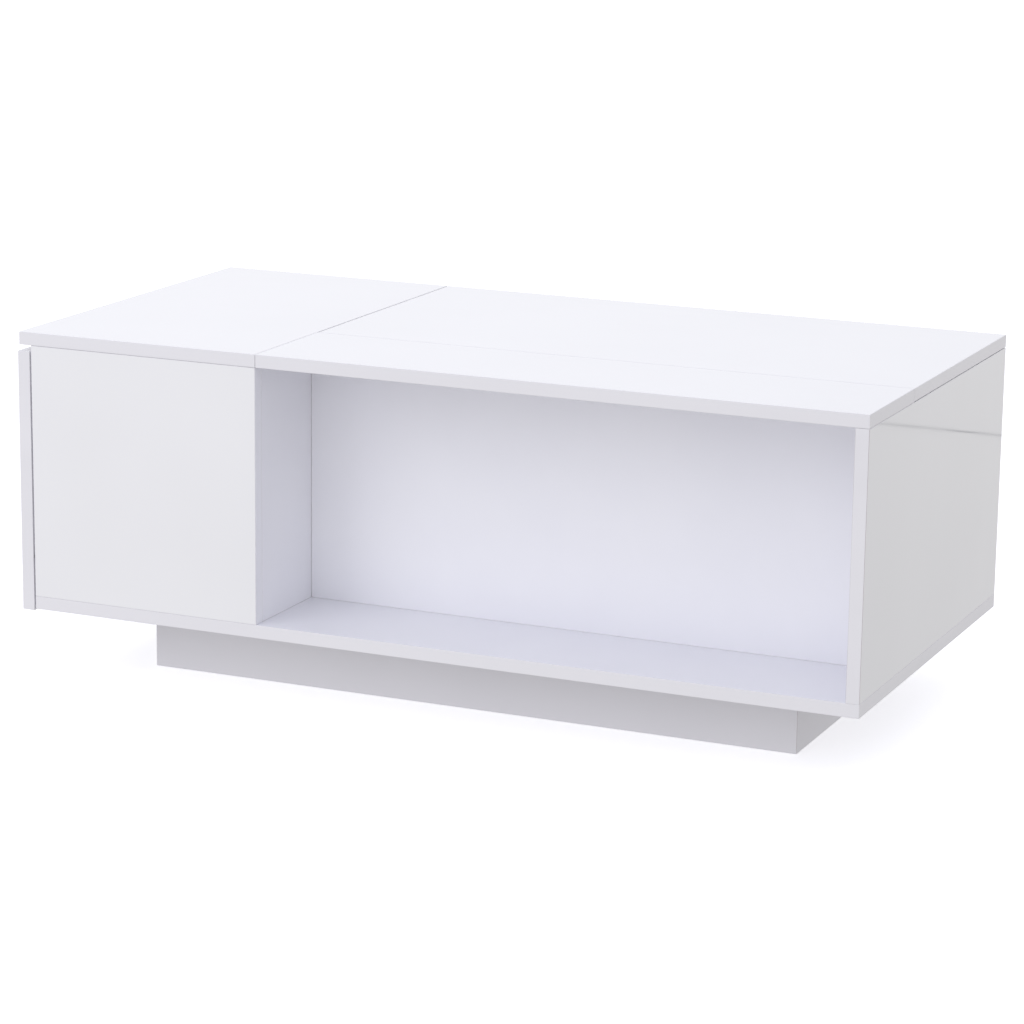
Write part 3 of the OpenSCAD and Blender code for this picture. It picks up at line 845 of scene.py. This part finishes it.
def slants(normal: Vector, upright: float = 0.1, askew: float = 0.2) -> bool:
    """Whether a face is upright and faces neither straight along X nor straight along Y."""
    return abs(normal.z) < upright and min(abs(normal.x), abs(normal.y)) > askew


@dataclass
class Board:
    """A flat-pack board: foiled faces, a buffed band round its edges and drilled cam pockets.

    Attributes:
        node: The CAD node that it stands for.
        body: The body that carries it.
        gloss: The ways that its high-gloss faces look; the other face has melamine.
        slot: The record's slot.
        edge_mm: Radius of its edges.
        band_mm: Width of the edge band's rim on the faces.
        past_mm: How far past the rim a face still counts as on it.
        under_mm: Depth past which a face that stands edgewise lies under the surface.
        deepest_mm: Depth past which any face lies inside a pocket.
        slack_mm: Room round a cam in its pocket.
        core: The finish inside its pockets.
        cams: The CAD node of the cams that its pockets are for.
        eased: Sides that stand off what they butt against, and the open joint's width in mm.
        foiled: Ends that the melamine foil is wrapped round, so that they have no band.
        glue_and_shade: Whether the edge band's glue line, darkened as painted joint shade, shows
            along the upright edges.
        face: The finish of the faces that look in the gloss ways.
    """

    node: str
    body: str = "case"
    gloss: tuple[Axis, ...] = ()
    slot: str = "gloss_white_board"
    edge_mm: float = 0.35
    band_mm: float = 0.8
    past_mm: float = 0.02
    under_mm: float = 0.01
    deepest_mm: float = 0.5
    slack_mm: float = 0.2
    core: Finish = RAW_BOARD
    cams: str = "cam_locks"
    eased: dict[Axis, float] = field(default_factory=dict)
    foiled: tuple[Axis, ...] = ()
    glue_and_shade: bool = False
    face: Finish = GLOSS
    low: Vector = field(init=False)
    high: Vector = field(init=False)

    def __post_init__(self) -> None:
        """Read the board's corners from the frame and draw the eased sides in."""
        self.low, self.high = (corner.copy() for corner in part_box(self.node))
        for axis, width_mm in self.eased.items():
            corner = self.high if sum(axis.value) > 0 else self.low
            corner -= axis.way * width_mm * MM

    @property
    def thin(self) -> int:
        """The axis across the board's thickness."""
        size = list(self.high - self.low)
        return size.index(min(size))

    def finish_of(self, centre: Vector, normal: Vector) -> Skin:
        """What covers a face.

        Args:
            centre: The face's middle.
            normal: The face's normal.

        Returns:
            The skin.
        """
        rim = (self.band_mm + self.past_mm) * MM
        inside = min(min(centre[i] - self.low[i], self.high[i] - centre[i]) for i in range(3))
        on_edge = abs(normal[self.thin]) < EDGEWISE
        if inside > self.deepest_mm * MM:
            return Skin.CORE
        if inside > self.under_mm * MM and on_edge and self.depth(centre) > rim:
            return Skin.CORE
        if any(axis.way.dot(normal) > FACING for axis in self.foiled):
            return Skin.FOIL
        # The upright edges' bevels get the glue line, darkened as painted joint shade.
        if self.glue_and_shade and slants(normal):
            return Skin.GLUE
        if self.depth(centre) < rim or on_edge:
            return Skin.BAND
        if any(axis.way.dot(normal) > FACING for axis in self.gloss):
            return Skin.FACE
        return Skin.FOIL

    def depth(self, centre: Vector) -> float:
        """Distance of a point from the board's nearest edge, measured along the board."""
        along = [i for i in range(3) if i != self.thin]
        return min(min(centre[i] - self.low[i], self.high[i] - centre[i]) for i in along)

    def pockets(self) -> list[Workpiece]:
        """Make the drills for the cam pockets that open on this board.

        Returns:
            One drill for each cam.
        """
        drills = []
        for cam in turned_parts(self.cams, longest=False):
            centre = cam.wide_end + cam.way * cam.length / 2
            if all(self.low[i] < centre[i] < self.high[i] for i in range(3)):
                wall = self.slack_mm * MM
                face = centre.copy()
                axis = self.thin
                nearer_low = centre[axis] - self.low[axis] < self.high[axis] - centre[axis]
                face[axis] = self.low[axis] - MM if nearer_low else self.high[axis] + MM
                floor = centre.copy()
                depth = cam.length / 2 + wall
                floor[axis] += depth if nearer_low else -depth
                drills.append(Workpiece.rod(face, floor, cam.radius + wall, sides=64))
        return drills

    def shape(self) -> Workpiece:
        """Model the bare board: a block with rounded edges and a rim along each.

        Returns:
            The board on the bench.
        """
        piece = Workpiece.block(self.low, self.high)
        piece.pick(Part.EDGES, lambda _: True)
        piece.bevel(self.edge_mm)
        return self.rimmed(piece)

    def rimmed(self, piece: Workpiece) -> Workpiece:
        """Cut a rim along each edge, for the band and so that the faces shade flat.

        Args:
            piece: The board on the bench.

        Returns:
            The same board.
        """
        for i in range(3):
            way = Vector([1.0 if j == i else 0.0 for j in range(3)])
            for corner, sign in ((self.low, 1), (self.high, -1)):
                piece.bisect(corner + way * sign * self.band_mm * MM, way)
        return piece

    def build(self) -> None:
        """Model, drill and dress the board."""
        piece = self.shape()
        drills = self.pockets()
        if drills:
            piece.cut(drills[0].join(drills[1:]))
        finishes = (self.face, MELAMINE, EDGE_BAND, self.core, GLUE_AND_SHADE_LINE)
        piece.dress(*finishes, by=self.finish_of).shade()
        piece.hand_over(self.node + "_board", self.body, self.slot, self.node)


@dataclass
class MitredBoard(Board):
    """A plinth board whose ends are mitred, so that only a hairline shows at each corner.

    Attributes:
        outer: The way that its outer face looks.
    """

    # Painted shade: the plinth's foil is coloured a shade greyer for its place under the overhang.
    face: Finish = SHADED_PLINTH_FOIL
    outer: Axis = Axis.FRONT

    def finish_of(self, centre: Vector, normal: Vector) -> Skin:
        """What covers a face: the foil has no band, and glue darkened as painted joint shade shows
        at the mitres.

        Args:
            centre: The face's middle; not used.
            normal: The face's normal.

        Returns:
            The skin.
        """
        if slants(normal):
            return Skin.GLUE
        return Skin.FOIL if self.outer.way.dot(normal) < -FACING else Skin.FACE

    def shape(self) -> Workpiece:
        """Model the board and draw the ends of its inner face in.

        Returns:
            The board on the bench.
        """
        piece = Workpiece.block(self.low, self.high)
        thick = (self.high - self.low)[self.thin]
        along = next(i for i in (0, 1) if i != self.thin)
        centre = (self.low + self.high) / 2
        for sign in (-1, 1):
            piece.pick(
                Part.POINTS,
                lambda v, s=sign: (v.co - centre).dot(self.outer.way) < 0
                and (v.co[along] - centre[along]) * s > 0,
            )
            move = [0.0, 0.0, 0.0]
            move[along] = -sign * thick
            bpy.ops.transform.translate(value=move)
        piece.pick(Part.EDGES, lambda _: True)
        piece.bevel(self.edge_mm)
        return self.rimmed(piece)


@dataclass
class GroovedBoard(Board):
    """A drawer side with the groove that holds the drawer's bottom.

    Attributes:
        play_mm: Play of the bottom in its groove.
    """

    play_mm: float = 0.1

    def shape(self) -> Workpiece:
        """Model the side and cut its groove from end to end.

        Returns:
            The side on the bench.
        """
        play = self.play_mm * MM
        low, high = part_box("drawer_bottom")
        groove = Workpiece.block(
            Vector((self.low.x - MM, low.y - play, low.z - play)),
            Vector((self.high.x + MM, high.y + play, high.z + play)),
        )
        return super().shape().cut(groove)


def dress_node(node: str, finish: Finish) -> None:
    """Put a finish on a CAD node whose own shape is right.

    Args:
        node: The CAD node.
        finish: Its finish.
    """
    obj = frame["nodes"][node]
    for slot_ in obj.material_slots:
        slot_.material = finish.build()
    log.info("%s: CAD node, %s", node, finish.name)


# ---------------------------------------------------------------- Fittings


class Head(Enum):
    """The kinds of screw head."""

    FLAT = "countersunk"
    PAN = "round"


@dataclass
class Screw:
    """A cross-headed wood screw.

    Attributes:
        node: The CAD node that holds the screws.
        body: The body that carries them.
        head: The kind of its head.
        flat_mm: Height of a countersunk head.
        pan_mm: Height of a round head.
        dome_mm: How far a round head's rim is rounded.
        shank_mm: Radius of the shank.
        tip_mm: How far the tip is chamfered.
        recess_mm: Width of the cross recess.
        bar_mm: Half the width of one bar of the recess.
        deep_mm: Depth of the recess.
    """

    node: str
    body: str
    head: Head = Head.FLAT
    flat_mm: float = 1.2
    pan_mm: float = 2.0
    dome_mm: float = 1.1
    shank_mm: float = 1.75
    tip_mm: float = 0.8
    recess_mm: float = 3.6
    bar_mm: float = 0.45
    deep_mm: float = 1.3

    def round_head(self, piece: Workpiece, screw: Turned) -> None:
        """Dome a round head and step it in to the shank under it.

        Args:
            piece: The screw on the bench.
            screw: The size of the screw.
        """
        piece.pick(Part.EDGES, lambda e: all(v.co.z < ON_PLANE for v in e.verts))
        piece.bevel(self.dome_mm, segments=4)
        piece.pick(Part.POINTS, lambda v: v.co.z > screw.length - ON_PLANE)
        ratio = self.shank_mm * MM / screw.radius
        bpy.ops.transform.resize(value=(ratio, ratio, 1))
        under_head = self.pan_mm * MM + 10 * ON_PLANE
        piece.bisect(Vector((0, 0, under_head)), Vector((0, 0, 1)))

    def template(self, screw: Turned) -> Workpiece:
        """Model one screw with its head at the origin, pointing along +Z.

        Args:
            screw: The size of the screw.

        Returns:
            The screw on the bench.
        """
        pan = self.head is Head.PAN
        shank = self.shank_mm * MM
        head_h = (self.pan_mm if pan else self.flat_mm) * MM
        piece = Workpiece.rod(Vector(), Vector((0, 0, screw.length)), screw.radius, sides=32)
        piece.bisect(Vector((0, 0, head_h)), Vector((0, 0, 1)))
        if pan:
            self.round_head(piece, screw)
        under = head_h + ON_PLANE if pan else head_h - ON_PLANE
        piece.pick(Part.POINTS, lambda v: v.co.z > under)
        points = [v.co for v in bmesh.from_edit_mesh(piece.obj.data).verts if v.select]
        ratio = shank / max(math.hypot(p.x, p.y) for p in points)
        bpy.ops.transform.resize(value=(ratio, ratio, 1))
        piece.pick(Part.EDGES, lambda e: all(v.co.z > screw.length - ON_PLANE for v in e.verts))
        piece.bevel(self.tip_mm, segments=2)
        half, arm, deep = self.recess_mm / 2 * MM, self.bar_mm * MM, self.deep_mm * MM
        bars = [
            Workpiece.block(Vector((-half, -arm, -MM)), Vector((half, arm, deep))),
            Workpiece.block(Vector((-arm, -half, -MM)), Vector((arm, half, deep))),
        ]
        for bar in bars:
            piece.cut(bar)
        return piece.shade()

    def build(self) -> None:
        """Model one screw and copy it to each place in the node."""
        places = turned_parts(self.node, longest=True)
        kinds: dict[int, list[Turned]] = {}
        for place in places:
            tenths_mm = round(place.length * 1e4)
            kinds.setdefault(tenths_mm, []).append(place)
        made: list[Workpiece] = []
        for alike in kinds.values():
            made += self.template(alike[0]).copies_at(p.placed() for p in alike)
        whole = made[0].join(made[1:])
        whole.dress(ZINC_PLATE)
        whole.hand_over(self.node + "_crossed", self.body, "zinc_plated_steel", self.node)


@dataclass
class Button:
    """A small round pad or cap that sits on a face, domed on its free side.

    Attributes:
        node: The CAD node that holds the pads.
        body: The body that carries them.
        finish: What they are made of.
        slot: The record's slot.
        dome_mm: How far the rim is rounded.
        rim_mm: Width of the flat top's own rim.
    """

    node: str
    body: str
    finish: Finish
    slot: str
    dome_mm: float
    rim_mm: float = 0.3

    def build(self) -> None:
        """Model one pad and copy it to each place in the node."""
        places = turned_parts(self.node, longest=False)
        first = places[0]
        piece = Workpiece.rod(Vector(), Vector((0, 0, first.length)), first.radius, sides=40)
        piece.pick(Part.EDGES, lambda e: all(v.co.z > first.length - ON_PLANE for v in e.verts))
        piece.bevel(self.dome_mm, segments=4)
        piece.pick(Part.FACES, lambda f: f.normal.z > 0.99)
        bpy.ops.mesh.inset(thickness=self.rim_mm * MM)
        copies = piece.copies_at(p.placed() for p in places)
        whole = copies[0].join(copies[1:])
        whole.dress(self.finish).shade()
        whole.hand_over(self.node + "_domed", self.body, self.slot, self.node)


@dataclass
class Pressed:
    """A pressed, cut or turned part that keeps its CAD shape but has its edges broken.

    Attributes:
        node: The CAD node.
        body: The body that carries it.
        finish: Its finish.
        slot: The record's slot.
        edge_mm: Width of the broken edge.
    """

    node: str
    body: str
    finish: Finish = ZINC_PLATE
    slot: str = "zinc_plated_steel"
    edge_mm: float = 0.3

    def build(self) -> None:
        """Copy the node, break its edges and dress it."""
        piece = Workpiece.from_node(self.node)
        piece.soften(self.edge_mm).dress(self.finish)
        piece.hand_over(self.node + "_finished", self.body, self.slot, self.node)


# ---------------------------------------------------------------- Sub-assemblies


@dataclass
class Case:
    """The case: eight boards, their cam fittings and the pads on them."""

    def boards(self) -> list[Board]:
        """List the case's boards, with the ways that their gloss faces look.

        Returns:
            The boards, not yet modelled.
        """
        satin, tight, open_ = "satin_white_board", {Axis.DOWN: 0.08}, {Axis.DOWN: 0.25}
        return [
            Board("bottom_board"),
            Board("right_side_panel", gloss=(Axis.RIGHT,), eased=tight, glue_and_shade=True),
            Board("partition", slot=satin, eased=tight),
            Board("left_front_panel", gloss=(Axis.FRONT,), eased=tight, foiled=(Axis.RIGHT,)),
            Board("rear_panel", gloss=(Axis.BACK,), eased=tight),
            Board("shelf_back_panel", slot=satin, eased={**tight, Axis.LEFT: 0.25}),
            Board("left_top", gloss=(Axis.UP,), eased=open_),
            Board("front_top_strip", gloss=(Axis.UP,), eased=open_),
        ]

    def build(self) -> None:
        """Model and dress the case."""
        for board in self.boards():
            board.build()
        Button("cam_caps", "case", NYLON, "white_nylon", 0.7).build()
        Button("lift_pads", "case", PAD, "clear_polyurethane", 0.35).build()
        Button("drawer_bumpers", "case", RUBBER, "black_rubber", 0.8).build()
        dress_node("cam_locks", CAST_ZINC)
        dress_node("cam_bolts", ZINC_PLATE)
        dress_node("dowels", BEECH)


@dataclass
class Plinth:
    """The recessed plinth: four mitred boards, a brace, glued blocks and their screws."""

    def build(self) -> None:
        """Model and dress the plinth."""
        for node, outer in (
            ("plinth_front", Axis.FRONT),
            ("plinth_back", Axis.BACK),
            ("plinth_left", Axis.LEFT),
            ("plinth_right", Axis.RIGHT),
        ):
            MitredBoard(node, outer=outer, edge_mm=0.3).build()
        Board("plinth_brace", slot="satin_white_board").build()
        Pressed("plinth_corner_blocks", "case", BEECH, "beech", 0.8).build()
        Screw("plinth_screws", "case", Head.PAN).build()


@dataclass
class Drawer:
    """The drawer: its front, its grooved box and its half of the runners."""

    def build(self) -> None:
        """Model and dress the drawer."""
        satin = "satin_white_board"
        Board("drawer_front", "drawer", gloss=(Axis.LEFT,)).build()
        for node in ("drawer_side_front", "drawer_side_back"):
            GroovedBoard(node, "drawer", slot=satin, cams="drawer_cam_locks").build()
        Board("drawer_back", "drawer", slot=satin).build()
        Pressed("drawer_bottom", "drawer", HARDBOARD, "white_hardboard", 0.2).build()
        dress_node("drawer_cam_locks", CAST_ZINC)
        dress_node("drawer_cam_bolts", ZINC_PLATE)
        dress_node("drawer_dowels", BEECH)
        for node in ("drawer_runner_front", "drawer_runner_back"):
            Pressed(node, "drawer", RUNNER_STEEL).build()
        Pressed("drawer_screws", "drawer").build()
        Screw("drawer_runner_screws", "drawer").build()


@dataclass
class Runners:
    """What stays in the case of the runners, and their travelling ball cages."""

    def build(self) -> None:
        """Model and dress the runners."""
        for side in ("front", "back"):
            Pressed("case_runner_" + side, "case", RUNNER_STEEL).build()
            Pressed("ball_cage_" + side, "ball_cages", RUNNER_STEEL, edge_mm=0.12).build()
            dress_node("runner_balls_" + side, BALL_STEEL)
        Screw("case_runner_screws", "case").build()


@dataclass
class LiftMechanism:
    """The lifting top with its brackets, arms, pins and springs."""

    def build(self) -> None:
        """Model and dress the mechanism."""
        Board("lift_top", "lifting_top", gloss=(Axis.UP,)).build()
        for side in ("left", "right"):
            Pressed("base_bracket_" + side, "case").build()
            Pressed("top_bracket_" + side, "lifting_top").build()
            Pressed("front_arm_" + side, "front_arms").build()
            Pressed("rear_arm_" + side, "rear_arms").build()
        Pressed("base_pivot_pins", "case", edge_mm=0.6).build()
        Pressed("top_pivot_pins", "lifting_top", edge_mm=0.6).build()
        Pressed("base_washers", "case", NYLON, "white_nylon", 0.15).build()
        Pressed("top_washers", "lifting_top", NYLON, "white_nylon", 0.15).build()
        Pressed("spring_bushes", "case", NYLON, "white_nylon", 0.4).build()
        dress_node("spring_coils", SPRING_STEEL)
        dress_node("spring_anchors", SPRING_STEEL)
        Screw("base_bracket_screws", "case").build()
        Screw("top_bracket_screws", "lifting_top").build()


# ---------------------------------------------------------------- Studio


@dataclass(frozen=True)
class Softbox:
    """One rectangular softbox.

    Attributes:
        name: The light's name.
        place: Where it hangs, in metres.
        size: Its width and height in metres.
        watts: Its power.
    """

    name: str
    place: tuple[float, float, float]
    size: tuple[float, float]
    watts: float


@dataclass
class Studio:
    """A pale floor, soft lights and the camera.

    Attributes:
        azimuth: Degrees that the camera stands round to the right of the front.
        elevation: Degrees that it looks down.
        roll: Degrees that it is turned about its own axis.
        target: The point that it looks at, in metres.
        distance: How far it stands from that point, in metres.
        lens: Focal length in millimetres.
        sensor: Width of its sensor in millimetres.
        far: Farthest that the camera sees, in metres.
        room_radius: Distance of the curtain round the floor, in metres.
        floor_size: Side of the floor, which reaches past the curtain, in metres.
        curtain_faces: Flat faces round the curtain.
        reflection_strip_low: Nearest and lowest corner of the dark strip that paints a dark
            reflection line on the gloss faces, in metres.
        reflection_strip_size: Length, width and height of that strip, in metres.
        boxes: The softboxes.
        aim: The point that the softboxes face.
        tint: Colour of their light, a little cool.
        sky: Strength of the room's light.
        dim: Its strength towards dim_way.
        bright: What is added to it towards bright_way.
        below: Colour of the light from under the horizon, up to the height heights[0].
        level: Colour at the height heights[1].
        above: Colour from overhead, down to the height heights[2].
        heights: Heights of the three colours, 0 straight down and 1 straight up.
    """

    azimuth: float = 23.57
    elevation: float = 13.44
    roll: float = 0.74
    target: tuple[float, float, float] = (0.002, -0.008, 0.194)
    distance: float = 3.93
    lens: float = 121.15
    sensor: float = 36.0
    far: float = 100.0
    room_radius: float = 40.0
    floor_size: float = 88.0
    curtain_faces: int = 96
    # A dark strip that only the gloss faces mirror: a painted reflection line
    reflection_strip_low: tuple[float, float, float] = (0.2, 1.528, 0.001)
    reflection_strip_size: tuple[float, float, float] = (2.4, 0.0042, 0.002)
    boxes: tuple[Softbox, ...] = (
        Softbox("front_box", (-1.8, -2.6, 2.0), (1.8, 1.6), 16.0),
        Softbox("fill_box", (-0.7, -2.4, 0.6), (1.2, 0.8), 2.5),
    )
    aim: tuple[float, float, float] = (-0.1, 0.0, 0.15)
    tint: tuple[float, float, float] = (0.955, 0.96, 1.06)
    sky: float = 1.1
    dim: float = 0.86
    dim_way: tuple[float, float, float] = (0.8, 0.45, -0.4)
    bright: float = 0.2
    bright_way: tuple[float, float, float] = (-0.39, 0.89, 0.23)
    below: tuple[float, float, float] = (0.35, 0.345, 0.36)
    level: tuple[float, float, float] = (0.90, 0.888, 0.88)
    above: tuple[float, float, float] = (0.74, 0.748, 0.812)
    heights: tuple[float, float, float] = (0.22, 0.42, 0.75)

    def camera(self) -> None:
        """Place the camera."""
        az, el, roll = (math.radians(a) for a in (self.azimuth, self.elevation, self.roll))
        back = Vector((math.sin(az) * math.cos(el), -math.cos(az) * math.cos(el), math.sin(el)))
        right = (-back).cross(Vector((0, 0, 1))).normalized()
        up = right.cross(-back)
        across = right * math.cos(roll) + up * math.sin(roll)
        above = up * math.cos(roll) - right * math.sin(roll)
        data = bpy.data.cameras.new("camera")
        data.lens = self.lens
        data.sensor_width = self.sensor
        data.clip_end = self.far
        camera = bpy.data.objects.new("camera", data)
        place = Matrix((across, above, back)).transposed().to_4x4()
        place.translation = Vector(self.target) + back * self.distance
        camera.matrix_world = place
        bpy.context.scene.collection.objects.link(camera)
        bpy.context.scene.camera = camera

    def softbox(self, box: Softbox) -> None:
        """Hang a softbox that faces the table.

        Args:
            box: The softbox.
        """
        data = bpy.data.lights.new(box.name, "AREA")
        data.shape = "RECTANGLE"
        data.size, data.size_y = box.size
        data.energy = box.watts
        data.color = self.tint
        place = Vector(box.place)
        turn = (Vector(self.aim) - place).to_track_quat("-Z", "Y").to_matrix().to_4x4()
        light = bpy.data.objects.new(box.name, data)
        light.matrix_world = Matrix.Translation(place) @ turn
        bpy.context.scene.collection.objects.link(light)

    def room(self) -> None:
        """Lay the floor and stand a white curtain far round it, seen only by the camera."""
        Workpiece.clear()
        bpy.ops.mesh.primitive_plane_add(size=self.floor_size, location=(0, 0, 0))
        floor = Workpiece(bpy.context.object).settle()
        high = Vector((0, 0, self.room_radius))
        curtain = Workpiece.rod(-high, high, self.room_radius, self.curtain_faces)
        for name, piece in (("floor", floor), ("curtain", curtain)):
            piece.dress(OPAL_FLOOR)
            piece.obj.name = name
            piece.obj.visible_diffuse = False
            piece.obj.visible_glossy = False
            piece.obj.visible_shadow = False

    def dark_reflection_strip(self) -> None:
        """Lay a dark strip, unseen by the camera and by diffuse light, that paints a dark
        reflection line on the gloss faces.
        """
        Workpiece.clear()
        low = Vector(self.reflection_strip_low)
        dark_reflection_strip = Workpiece.block(low, low + Vector(self.reflection_strip_size))
        dark_reflection_strip.dress(RUBBER)
        dark_reflection_strip.obj.name = "painted_reflection_strip"
        dark_reflection_strip.obj.visible_camera = False
        dark_reflection_strip.obj.visible_diffuse = False
        dark_reflection_strip.obj.visible_shadow = False

    def world(self) -> None:
        """Fill the room with even light: cool from above, dim on one side, bright behind."""
        world = bpy.data.worlds.new("studio")
        bpy.context.scene.world = world
        world.use_nodes = True
        tree = world.node_tree
        ground = tree.nodes["Background"]
        ways = add_node(tree, "TexCoord").outputs["Generated"]

        def towards(way: tuple[float, float, float], **span: float) -> bpy.types.NodeSocket:
            """Map how nearly a ray runs along a way.

            Args:
                way: A unit vector.
                span: The ranges that the cosine is mapped from and to.

            Returns:
                The mapped value.
            """
            dot = add_node(
                tree, "VectorMath", {"operation": "DOT_PRODUCT"}, {0: ways, 1: way}
            ).outputs["Value"]
            names = {name.replace("_", " ").title(): value for name, value in span.items()}
            smooth = {"interpolation_type": "SMOOTHSTEP"}
            return add_node(tree, "MapRange", smooth, {"Value": dot, **names}).outputs["Result"]

        side = towards(self.dim_way, from_min=-0.2, from_max=0.9, to_min=self.sky, to_max=self.dim)
        rear = towards(self.bright_way, from_min=0.4, from_max=1.0, to_min=0.0, to_max=self.bright)
        total = add_node(tree, "Math", {"operation": "ADD"}, {0: side, 1: rear})
        tree.links.new(total.outputs["Value"], ground.inputs["Strength"])
        height = towards((0.0, 0.0, 1.0), from_min=-1.0, from_max=1.0, to_min=0.0, to_max=1.0)
        height.node.interpolation_type = "LINEAR"
        ramp = add_node(tree, "ValToRGB", {}, {"Fac": height})
        stops = ramp.color_ramp.elements
        stops[0].position, stops[1].position = self.heights[0], self.heights[2]
        stops.new(self.heights[1])
        for stop, colour in zip(stops, (self.below, self.level, self.above)):
            stop.color = (*colour, 1.0)
        tree.links.new(ramp.outputs["Color"], ground.inputs["Color"])

    def build(self) -> None:
        """Set up the studio."""
        bpy.context.scene.view_settings.view_transform = "Standard"
        self.camera()
        self.room()
        self.dark_reflection_strip()
        self.world()
        for box in self.boxes:
            self.softbox(box)


def main() -> None:
    """Build the table and its studio."""
    logging.basicConfig(level=logging.INFO, format="%(message)s")
    Studio().build()
    for assembly in (Case(), Plinth(), Drawer(), Runners(), LiftMechanism()):
        assembly.build()


if __name__ == "__main__":
    main()
